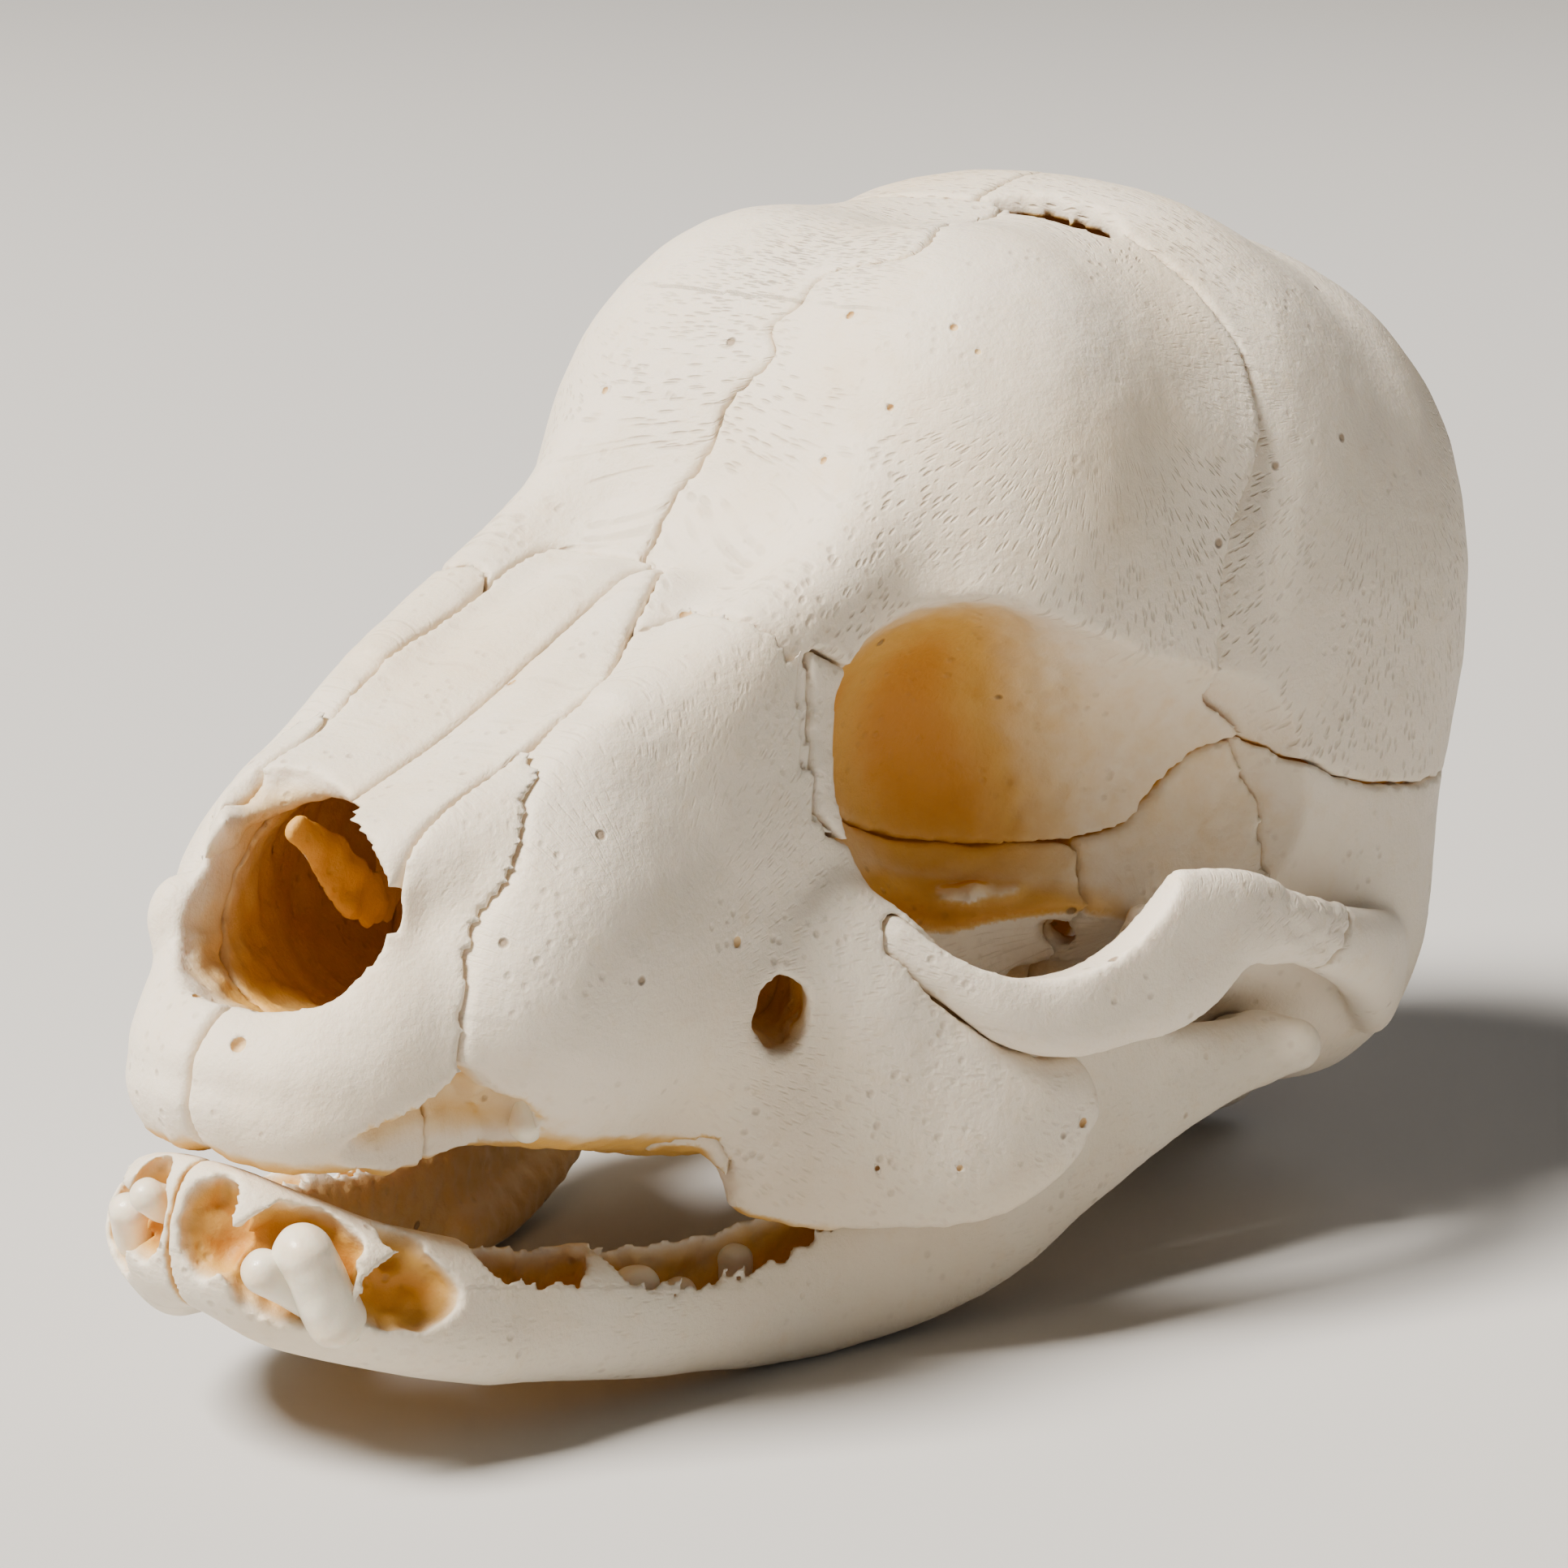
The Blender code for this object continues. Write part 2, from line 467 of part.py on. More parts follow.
def keep_largest(obj):
    """Drops every loose scrap, so that the largest closed surface is left."""
    shape = bmesh.new()
    shape.from_mesh(obj.data)
    bmesh.ops.dissolve_degenerate(shape, dist=SLIVER, edges=shape.edges)
    bmesh.ops.triangulate(shape, faces=shape.faces)
    todo, islands = set(shape.faces), []
    while todo:
        front = [todo.pop()]
        island = []
        while front:
            face = front.pop()
            island.append(face)
            for edge in face.edges:
                for other in edge.link_faces:
                    if other in todo:
                        todo.remove(other)
                        front.append(other)
        islands.append(island)
    islands.sort(key=lambda faces: sum(face.calc_area() for face in faces), reverse=True)
    for island in islands[1:]:
        bmesh.ops.delete(shape, geom=island, context="FACES")
    shape.to_mesh(obj.data)
    shape.free()
    return obj


def thin_out(obj, keep):
    """Triangles without slivers, and only a share of them."""
    obj.modifiers.new("triangles", "TRIANGULATE")
    thin = obj.modifiers.new("thin", "DECIMATE")
    thin.ratio = keep
    return keep_largest(apply(obj))


SEAM = GAP / 2    # how far each bone stays from the middle plane


def claims(side):
    """What each bone of one side takes of the skull, as blocks: a later bone gets what the earlier leave.

    A block is the way it is seen, its outline, and how far it reaches across, or up from where."""
    nasal_edge, nose = NASAL_EDGE[side], FRONTAL_NOSE[side]
    return {
        "nasal": [("above", ((SEAM, 1), (5.2, 1), *nasal_edge, (SEAM, nasal_edge[-1][1])), 8.3, EDGE)],
        "incisive": [("side", (*INCISIVE, (-9, 16.8), (-9, -4)), SEAM, EDGE)],
        "lacrimal": [("side", ((20.0, 19.6), (20.3, 18.1), (20.6, 16.0), (21.1, 13.5), (22.8, 12.4),
                               (26, 12.6), (26, 18)), 7.0, EDGE)],
        "maxilla": [("above", ((SEAM, 0), (SEAM, nose[0][1]), *nose[1:], (EDGE, 24), (EDGE, 0)), -9, EDGE),
                    ("side", ((20, -9), (20, 12.5), (24, 12.5), (27, 9.4), (34, 7.0), (34, -9)), 7.6, EDGE)],
        "frontal": [("side", (*CORONAL, *FRONTAL_FOOT[1:], (15, 14.4), (15, 42)), SEAM, EDGE)],
        "parietal": [("side", (*LAMBDOID[:-1], *SQUAMOUS[-2::-1], (38.2, 20.6), (36, 25), (33, 42)), SEAM,
                      EDGE)],
        "temporal": [("side", (*SQUAMOUS, (58.4, 12.5), (56.6, 6.5), (54.5, -5), (47, -5), (46, 3),
                               (45.5, 10), (44.2, 15.5)), 3.9, EDGE)],
        "exoccipital": [("side", ((52.0, -5), (55.0, 6.5), (56.0, 12.5), (75, 12.5), (75, -5)), SEAM, EDGE)],
        "palatine": [("side", ((16, -9), (16, 14.8), (37.0, 14.8), (38.4, 3), (38.4, -9)), SEAM, EDGE)],
    }


MIDDLE_CLAIMS = {
    "supraoccipital": ("side", (*LAMBDOID, (75, 12.5), (75, 42)), -EDGE, EDGE),
    "basioccipital": ("side", ((46.5, -5), (46.5, 8), (54, 8), (63, 5.2), (63, -5)), -3.6, 3.6),
    "sphenoid": ("side", ((30, -5), (30, 22), (50, 22), (50, -5)), -EDGE, EDGE),
}
CLAIM_ORDER = ("nasal", "incisive", "lacrimal", "maxilla", "frontal", "supraoccipital", "parietal",
               "basioccipital", "temporal", "exoccipital", "palatine", "sphenoid")


def block(claim, side, grow=0.0):
    made = prism("claim", claim[1], *claim[:1], *claim[2:], grow=grow)
    return mirror_x(made) if side == "right" else made


def part_bones(skull):
    """Cuts the skull into its bones, each a gap away from the ones before it."""
    taken, bones = [], {}
    for bone in CLAIM_ORDER:
        if bone in MIDDLE_CLAIMS:
            wanted = [("", [MIDDLE_CLAIMS[bone]])]
        else:
            wanted = [(side, claims(side)[bone]) for side in ("left", "right")]
        for side, blocks in wanted:
            made = copy_of(skull, bone + ("_" + side if side else ""))
            first, *more = [block(b, side) for b in blocks]
            if more:
                join(first, more, "UNION", "MANIFOLD")
            join(made, [first], "INTERSECT", "MANIFOLD")
            for other_side_of, earlier in taken:
                if not side or not other_side_of or side == other_side_of:
                    join(made, [block(earlier, other_side_of, GAP)], "DIFFERENCE", "MANIFOLD")
            bones[made.name] = thin_out(keep_largest(made), 0.4)
        for side, blocks in wanted:
            taken += [(side, b) for b in blocks]
    bpy.data.objects.remove(skull)
    return bones


def build_skull():
    outer = form("outer", BRAINCASE + BASE + SNOUT, FORM_CELL, keep=0.14)
    brain = form("brain", BRAINCASE, CAVITY_CELL, WALL, keep=0.2)
    walls = [form("wall", [orbit._replace(radii=tuple(r + WALL for r in orbit.radii)),
                           fossa._replace(radii=tuple(r + WALL for r in fossa.radii))], CAVITY_CELL, keep=0.3)
             for orbit, fossa in zip(ORBITS, FOSSAE)]
    for wall in walls:
        join(brain, [wall], "DIFFERENCE", "MANIFOLD")
    keep_largest(brain)
    holes = [form("orbit", [orbit, fossa], CAVITY_CELL, keep=0.35) for orbit, fossa in zip(ORBITS, FOSSAE)]
    holes.append(form("nose", NASAL_CAVITY, CAVITY_CELL, keep=0.3))
    holes.append(form("magnum", FORAMEN_MAGNUM, CAVITY_CELL, keep=0.3))
    holes.append(prism("fontanelle", FONTANELLE, "above", 34.0, 44.0))
    for pieces in (INFRAORBITAL, CANINE_POCKET):
        holes.append(form("hole", pieces, 0.5, keep=0.2))
        holes.append(form("hole", [other_side(p) for p in pieces], 0.5, keep=0.2))
    holes += [block(GUM_NOTCH, side) for side in ("left", "right")]
    for hole in [brain] + holes:
        join(outer, [hole], "DIFFERENCE", "MANIFOLD")
    return keep_largest(outer)


ARCH_SUTURE = ((47.2, 15.0), (41.2, 6.0), (20.0, 0.0), (20.0, 15.0))   # the zygomatic lies before it


def build_arches(bones):
    """The cheek arches: the front of each is the zygomatic, and the rear grows from the temporal."""
    for side, arch, orbit in zip(("left", "right"), ARCHES, ARCH_ROOMS):
        zygomatic = form("zygomatic_" + side, [arch], FORM_CELL, keep=0.25)
        join(zygomatic, [form("orbit", [orbit], CAVITY_CELL, keep=0.35)], "DIFFERENCE", "MANIFOLD")
        process = copy_of(zygomatic, "process")
        join(zygomatic, [block(("side", ARCH_SUTURE, 5.0, EDGE), side)], "INTERSECT", "MANIFOLD")
        join(process, [block(("side", ARCH_SUTURE, 5.0, EDGE), side, GAP)], "DIFFERENCE", "MANIFOLD")
        join(bones["temporal_" + side], [keep_largest(process)], "UNION", "MANIFOLD")
        keep_largest(bones["temporal_" + side])
        room = form("room", [arch], FORM_CELL, -GAP, keep=0.35)
        front = form("orbit", [orbit], CAVITY_CELL, keep=0.35)
        join(room, [front], "DIFFERENCE", "MANIFOLD")
        for bone in ("maxilla_", "palatine_", "lacrimal_"):
            join(bones[bone + side], [copy_of(room, "room")], "DIFFERENCE", "MANIFOLD")
            keep_largest(bones[bone + side])
        bpy.data.objects.remove(room)
        bones[zygomatic.name] = keep_largest(zygomatic)


def build_jaws(bones):
    for side in ("left", "right"):
        turned = (lambda piece: piece) if side == "left" else other_side
        jaw = form("mandible_" + side, [turned(piece) for piece in MANDIBLE], 0.6, keep=0.3)
        for group in ALVEOLI:
            pocket = form("alveolus", [turned(piece) for piece in group], 0.45, keep=0.25)
            join(jaw, [pocket], "DIFFERENCE", "MANIFOLD")
        for root, tip, half_width, half_thickness in (*FRONT_GERMS[side], *CHEEK_GERMS):
            germ = Bar(((*root, half_width * 0.8, half_thickness), (*tip, half_width, half_thickness)))
            made = form("germ", [turned(germ)], 0.3, keep=0.12)
            join(jaw, [made], "UNION", "MANIFOLD")
        middle = prism("middle", ((-9, -20), (60, -20), (60, 20), (-9, 20)), "side", -EDGE, SEAM)
        join(jaw, [middle if side == "left" else mirror_x(middle)], "DIFFERENCE", "MANIFOLD")
        bones[jaw.name] = thin_out(keep_largest(jaw), 0.36)
        room = form("room", [turned(piece) for piece in MANDIBLE], 0.8, -GAP, keep=0.3)
        for bone in ("maxilla_", "temporal_", "incisive_"):
            join(bones[bone + side], [copy_of(room, "room")], "DIFFERENCE", "MANIFOLD")
            keep_largest(bones[bone + side])
        bpy.data.objects.remove(room)


def build_small_bones(bones):
    vomer = prism("vomer", VOMER, "side", -0.4, 0.4)
    bones[vomer.name] = vomer
    for side in ("left", "right"):
        turned = (lambda piece: piece) if side == "left" else other_side
        turbinate = form("turbinate_" + side, [TURBINATES[side]], 0.32, keep=0.15)
        bones[turbinate.name] = turbinate
        bulla = form("bulla_" + side, [turned(p) for p in BULLA], 0.6, keep=0.22)
        room = form("room", BRAINCASE + BASE, CAVITY_CELL, -GAP, keep=0.5)
        join(bulla, [room], "DIFFERENCE", "MANIFOLD")
        bones[bulla.name] = keep_largest(bulla)


def paint(obj, name, colour, roughness):
    material = bpy.data.materials.get(name) or bpy.data.materials.new(name)
    material.use_nodes = True
    surface = material.node_tree.nodes["Principled BSDF"]
    surface.inputs["Base Color"].default_value = colour
    surface.inputs["Roughness"].default_value = roughness
    surface.inputs["Metallic"].default_value = 0.0
    obj.data.materials.clear()
    obj.data.materials.append(material)


def stand(bones):
    """Tips the skull into its resting pose, stands it on the floor and turns millimetres into metres."""
    pose = Matrix.Rotation(-NOSE_UP, 4, "X")
    corners = []
    for bone in bones.values():
        bone.data.transform(pose)
        corners.append(vertices_of(bone.data))
    corners = np.vstack(corners)
    low, high = corners.min(0), corners.max(0)
    middle = Vector(((low[0] + high[0]) / 2, (low[1] + high[1]) / 2, low[2]))
    place = Matrix.Scale(MM, 4) @ Matrix.Translation(-middle)
    for bone in bones.values():
        bone.data.transform(place)


if __name__ == "__main__":
    bones = part_bones(build_skull())
    build_arches(bones)
    build_jaws(bones)
    build_small_bones(bones)
    stand(bones)
    skull = bpy.data.collections.new("puppy_skull")
    bpy.context.scene.collection.children.link(skull)
    for obj in bones.values():
        if obj.name.startswith(("vomer", "turbinate")):
            paint(obj, "deep_bone", DEEP_BONE, 0.55)
        elif obj.name.startswith("mandible"):
            paint(obj, "jaw_bone", JAW_BONE, 0.6)
        else:
            paint(obj, "dry_bone", BONE, 0.6)
        workshop.objects.unlink(obj)
        skull.objects.link(obj)
    bpy.data.collections.remove(workshop)
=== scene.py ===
"""The dry skull of a young puppy with its lower jaw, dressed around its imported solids.

The bones are shaped in the skull's own frame, in millimetres: the front of the upper jaw is at Y = 0,
Y runs backwards, X to the animal's left, and Z = 0 is the level of the palate. REST then tips them into
the resting pose on the floor and turns millimetres into metres.
"""

import logging
import math
from dataclasses import dataclass, field, replace
from enum import Enum
from typing import Iterable, Sequence

import bmesh
import bpy
import numpy as np
from mathutils import Euler, Matrix, Vector, noise


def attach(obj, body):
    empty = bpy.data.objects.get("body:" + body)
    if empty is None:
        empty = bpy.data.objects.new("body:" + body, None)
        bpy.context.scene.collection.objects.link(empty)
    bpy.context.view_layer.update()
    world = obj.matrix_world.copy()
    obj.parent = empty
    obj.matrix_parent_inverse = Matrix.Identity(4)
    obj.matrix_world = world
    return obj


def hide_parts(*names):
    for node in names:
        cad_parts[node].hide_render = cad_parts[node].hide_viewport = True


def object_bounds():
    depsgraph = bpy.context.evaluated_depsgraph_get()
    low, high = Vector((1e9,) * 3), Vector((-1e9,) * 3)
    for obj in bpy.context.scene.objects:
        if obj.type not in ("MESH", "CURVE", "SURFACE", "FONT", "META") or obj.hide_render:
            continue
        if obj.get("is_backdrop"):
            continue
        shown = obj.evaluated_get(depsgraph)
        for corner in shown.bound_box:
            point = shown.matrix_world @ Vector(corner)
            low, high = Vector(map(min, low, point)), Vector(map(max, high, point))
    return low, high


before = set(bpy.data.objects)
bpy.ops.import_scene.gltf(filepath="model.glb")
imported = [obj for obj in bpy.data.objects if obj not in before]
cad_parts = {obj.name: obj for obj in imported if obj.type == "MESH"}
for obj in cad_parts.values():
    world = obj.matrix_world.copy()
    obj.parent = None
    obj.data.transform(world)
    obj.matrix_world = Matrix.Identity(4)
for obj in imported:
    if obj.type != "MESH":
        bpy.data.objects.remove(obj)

log = logging.getLogger("puppy_skull")
CAD_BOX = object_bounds()

Point = Sequence[float]
Colour = tuple[float, float, float, float]

MM = 0.001
REST = (Matrix.Scale(MM, 4) @ Matrix.Translation((-0.0148, -34.1977, 13.5933))
        @ Matrix.Rotation(math.radians(-12.8), 4, "X"))
GAP = 0.1          # width of a suture
SEAM = GAP / 2     # how far a bone stays from the middle plane
EDGE = 30.0        # past every side of the skull
WALL = 1.05        # thickness of the vault
FAR = 9.0          # stands for every distance that is too long to matter
FORM_CELL = 0.38     # grain of the forms that the bones are cut from
BONE_CELL = 0.25    # grain of a finished bone
FINE_CELL = 0.16     # grain of the jaws and the small bones


class Side(Enum):
    """A side of the skull, and the sign of X there."""

    LEFT = 1
    RIGHT = -1

    @property
    def label(self) -> str:
        """The side's word in a node's name."""
        return self.name.lower()


class Seen(Enum):
    """The way that an outline is drawn: what its two numbers are, and where it is pushed through."""

    SIDE = ((0, 1, 0), (0, 0, 1), (1, 0, 0))
    ABOVE = ((1, 0, 0), (0, 1, 0), (0, 0, 1))
    BROW = ((1, 0, 0), (0, math.sqrt(0.5), math.sqrt(0.5)), (0, math.sqrt(0.5), -math.sqrt(0.5)))


def smooth_rows(stations: Sequence[Point], steps: int, level: bool = False) -> np.ndarray:
    """Puts rows on one smooth line through stations.

    Args:
        stations: the rows that are given.
        steps: rows from each station to the next.
        level: whether the line ends level.

    Returns:
        The rows, one after the other.
    """
    given = np.array(stations, float)
    padded = np.vstack([2 * given[0] - given[1], given, 2 * given[-1] - given[-2]])
    if level:
        padded[0, 1:], padded[-1, 1:] = given[1, 1:], given[-2, 1:]
    rows = []
    for a, b, c, d in zip(padded, padded[1:], padded[2:], padded[3:]):
        for t in np.arange(steps) / steps:
            rows.append(0.5 * (2 * b + (c - a) * t + (2 * a - 5 * b + 4 * c - d) * t ** 2
                               + (3 * b - a - 3 * c + d) * t ** 3))
    rows.append(given[-1])
    return np.array(rows)


def ripple(points: np.ndarray, size: float, seed: float) -> np.ndarray:
    """Smooth noise between about -1 and 1 at each point, in waves of a size."""
    shift = Vector((seed, 2.3 * seed, -1.7 * seed))
    return np.array([noise.noise(Vector(p) / size + shift) for p in points])


def bridge_rings(shape: bmesh.types.BMesh, rings: Sequence[Sequence[Point]]) -> None:
    """Skins a row of rings and closes both ends.

    Args:
        shape: the mesh that takes the skin.
        rings: the points of each ring, as many in each.
    """
    before: list[bmesh.types.BMEdge] = []
    first: list[bmesh.types.BMEdge] = []
    for points in rings:
        made = bmesh.ops.create_circle(shape, cap_ends=False, segments=len(points), radius=1.0)["verts"]
        for vert, point in zip(made, points):
            vert.co = point
        loop = list({edge for vert in made for edge in vert.link_edges})
        if before:
            bmesh.ops.bridge_loops(shape, edges=before + loop)
        else:
            first = loop
        before = loop
    bmesh.ops.holes_fill(shape, edges=first + before, sides=0)


def ring_points(squareness: float, taper: float, count: int = 28) -> tuple[np.ndarray, np.ndarray]:
    """Corners of a rounded section one unit in radius, as across and up."""
    turns = np.arange(count) / count * 2 * math.pi
    c, s = np.cos(turns), np.sin(turns)
    reach = (np.abs(c) ** squareness + np.abs(s) ** squareness) ** (-1.0 / squareness)
    u, v = c * reach, s * reach
    return u * (1.0 - taper * v), v


CAP_ROWS = tuple(math.sin(math.radians(a)) for a in (85, 75, 60, 45, 30, 15))


@dataclass(frozen=True)
class Blob:
    """An ellipsoid of a form: its centre, half sizes, lean about X, Y and Z, and how softly it melts in."""

    centre: Point
    radii: Point
    lean: Point = (0.0, 0.0, 0.0)
    melt: float = 2.5

    def turn(self) -> Matrix:
        """The blob's own turn."""
        return Euler([math.radians(a) for a in self.lean]).to_matrix()

    def distance(self, points: np.ndarray, inset: float) -> np.ndarray:
        """Signed distance of each point to the blob made smaller by the inset."""
        found = np.full(len(points), FAR)
        radii = np.array(self.radii) - inset
        near = np.flatnonzero((np.abs(points - np.array(self.centre)) < radii.max() + 5.0).all(1))
        local = (points[near] - np.array(self.centre)) @ np.array(self.turn())
        reach = np.linalg.norm(local / radii, axis=1)
        slope = np.linalg.norm(local / radii ** 2, axis=1)
        found[near] = reach * (reach - 1.0) / np.maximum(slope, 1e-9)
        return found

    def add_to(self, shape: bmesh.types.BMesh, inset: float) -> None:
        """Adds the blob's own mesh to a rough shape."""
        radii = Vector(self.radii) - Vector((inset, inset, inset))
        place = Matrix.LocRotScale(Vector(self.centre), self.turn().to_quaternion(), radii)
        bmesh.ops.create_uvsphere(shape, u_segments=28, v_segments=18, radius=1.0, matrix=place)

    def mirrored(self) -> "Blob":
        """The same blob on the other side."""
        (x, y, z), (a, b, c) = self.centre, self.lean
        return replace(self, centre=(-x, y, z), lean=(a, -b, -c))


@dataclass(frozen=True)
class Loft:
    """A thick form along Y. Each station is y, middle z, half width and half height."""

    stations: Sequence[Point]
    squareness: float = 2.5
    taper: float = 0.0                      # how much narrower the top is than the middle
    caps: tuple[float, float] = (3.0, 3.0)  # length of the rounded front and rear
    melt: float = 3.0

    def size(self, points: np.ndarray, inset: float) -> np.ndarray:
        """How far out each point lies, with 0 on the surface and -1 in the middle."""
        rows = smooth_rows(self.stations, 8, level=True)
        y = np.clip(points[:, 1], rows[0, 0], rows[-1, 0])
        middle, half_width, half_height = (np.interp(y, rows[:, 0], rows[:, i]) for i in (1, 2, 3))
        v = (points[:, 2] - middle) / (half_height - inset)
        u = points[:, 0] / (half_width - inset) / (1.0 - self.taper * np.clip(v, -1.0, 1.0))
        over = points[:, 1] - y
        w = np.where(over < 0.0, over / (self.caps[0] - inset), over / (self.caps[1] - inset))
        ring = (np.abs(u) ** self.squareness + np.abs(v) ** self.squareness) ** (2.0 / self.squareness)
        return np.sqrt(ring + w ** 2) - 1.0

    def distance(self, points: np.ndarray, inset: float) -> np.ndarray:
        """Signed distance of each point to the form made smaller by the inset."""
        here = self.size(points, inset)
        h = 0.05
        slope = np.stack([self.size(points + h * axis, inset) - here for axis in np.eye(3)], 1) / h
        return here / np.maximum(np.linalg.norm(slope, axis=1), 0.02)

    def add_to(self, shape: bmesh.types.BMesh, inset: float) -> None:
        """Adds the form's own mesh to a rough shape."""
        rows = smooth_rows(self.stations, 4, level=True)
        u, v = ring_points(self.squareness, self.taper)
        front, rear = self.caps[0] - inset, self.caps[1] - inset
        placed = [(rows[0, 0] - front * s, math.sqrt(1 - s * s), rows[0]) for s in CAP_ROWS]
        placed += [(row[0], 1.0, row) for row in rows]
        placed += [(rows[-1, 0] + rear * s, math.sqrt(1 - s * s), rows[-1]) for s in CAP_ROWS[::-1]]
        bridge_rings(shape, [[(a * (row[2] - inset) * share, y, row[1] + b * (row[3] - inset) * share)
                              for a, b in zip(u, v)] for y, share, row in placed])

    def mirrored(self) -> "Loft":
        """The same form: it is as wide on both sides."""
        return self


@dataclass(frozen=True)
class Bar:
    """A thin bar along a smooth line. Each station is x, y, z, half width across and half height up."""

    stations: Sequence[Point]
    squareness: float = 2.0
    melt: float = 2.0
    caps: tuple[float, float] = (1.0, 1.0)  # length of the rounded ends, in half thicknesses

    def frames(self, rows: np.ndarray) -> tuple[np.ndarray, np.ndarray, np.ndarray]:
        """The bar's own directions at each row: along it, across it and up."""
        along = np.gradient(rows[:, :3], axis=0)
        along /= np.linalg.norm(along, axis=1, keepdims=True)
        across = np.cross(along, (0.0, 0.0, 1.0))
        across /= np.linalg.norm(across, axis=1, keepdims=True)
        return along, across, np.cross(across, along)

    def distance(self, points: np.ndarray, inset: float) -> np.ndarray:
        """Signed distance of each point to the bar made thinner by the inset."""
        rows = smooth_rows(self.stations, 4)
        frames = self.frames(rows)
        best = np.full(len(points), np.inf)
        found = np.full(len(points), FAR)
        for i in range(len(rows) - 1):
            start, end = rows[i, :3], rows[i + 1, :3]
            reach = end - start
            room = rows[i:i + 2, 3:].max() * 1.5 + 4.0
            near = np.flatnonzero((np.abs(points - (start + end) / 2) < room + np.abs(reach)).all(1))
            if not len(near):
                continue
            local = points[near] - start
            t = np.clip(local @ reach / (reach @ reach), 0.0, 1.0)[:, None]
            offset = local - t * reach
            gap = (offset ** 2).sum(1)
            closer = gap < best[near]
            near, t, offset = near[closer], t[closer], offset[closer]
            best[near] = gap[closer]
            half = rows[i, 3:] * (1 - t) + rows[i + 1, 3:] * t - inset
            along, across, upward = (f[i] * (1 - t) + f[i + 1] * t for f in frames)
            u = (offset * across).sum(1) / half[:, 0]
            v = (offset * upward).sum(1) / half[:, 1]
            w = (offset * along).sum(1) / half.min(1)
            w = w / np.where(w < 0.0, self.caps[0], self.caps[1])
            ring = (np.abs(u) ** self.squareness + np.abs(v) ** self.squareness) ** (2.0 / self.squareness)
            size = np.sqrt(ring + w ** 2)
            length = np.linalg.norm(offset, axis=1)
            found[near] = np.where(size < 0.25, -0.7 * half.min(1),
                                   length * (1.0 - 1.0 / np.maximum(size, 1e-6)))
        return found

    def add_to(self, shape: bmesh.types.BMesh, inset: float) -> None:
        """Adds the bar's own mesh to a rough shape."""
        rows = smooth_rows(self.stations, 4)
        along, across, upward = self.frames(rows)
        u, v = ring_points(self.squareness, 0.0, 16)
        rings = [(row, np.zeros(3), 1.0, side, rise) for row, side, rise in zip(rows, across, upward)]
        ends = []
        for end, sign in ((0, -1.0), (-1, 1.0)):
            row, go, side, rise = rows[end], sign * along[end], across[end], upward[end]
            length = (min(row[3:]) - inset) * self.caps[end]
            ends.append([(row, go * length * s, math.sqrt(1 - s * s), side, rise) for s in CAP_ROWS])
        bridge_rings(shape, [[row[:3] + shift + side * a * (row[3] - inset) * share
                              + rise * b * (row[4] - inset) * share for a, b in zip(u, v)]
                             for row, shift, share, side, rise in ends[0] + rings + ends[1][::-1]])

    def mirrored(self) -> "Bar":
        """The same bar on the other side."""
        return replace(self, stations=tuple((-s[0],) + tuple(s[1:]) for s in self.stations))


Piece = Blob | Loft | Bar


def on(side: Side, pieces: Iterable[Piece]) -> list[Piece]:
    """The pieces of one side, from those that are given for the left."""
    return [piece if side is Side.LEFT else piece.mirrored() for piece in pieces]


def both(*pieces: Piece) -> list[Piece]:
    """Each piece, and the same on the other side."""
    return [made for piece in pieces for made in (piece, piece.mirrored())]


def melted(points: np.ndarray, pieces: Sequence[Piece], inset: float = 0.0) -> np.ndarray:
    """Signed distance to pieces that melt into one another: below zero inside."""
    total = pieces[0].distance(points, inset)
    for piece in pieces[1:]:
        d = piece.distance(points, inset)
        h = np.clip(0.5 + 0.5 * (total - d) / piece.melt, 0.0, 1.0)
        total = total * (1 - h) + d * h - piece.melt * h * (1 - h)
    return total


def ramp(value: np.ndarray, low: float, high: float) -> np.ndarray:
    """A soft step from 0 at low to 1 at high."""
    t = np.clip((value - low) / (high - low), 0.0, 1.0)
    return t * t * (3 - 2 * t)


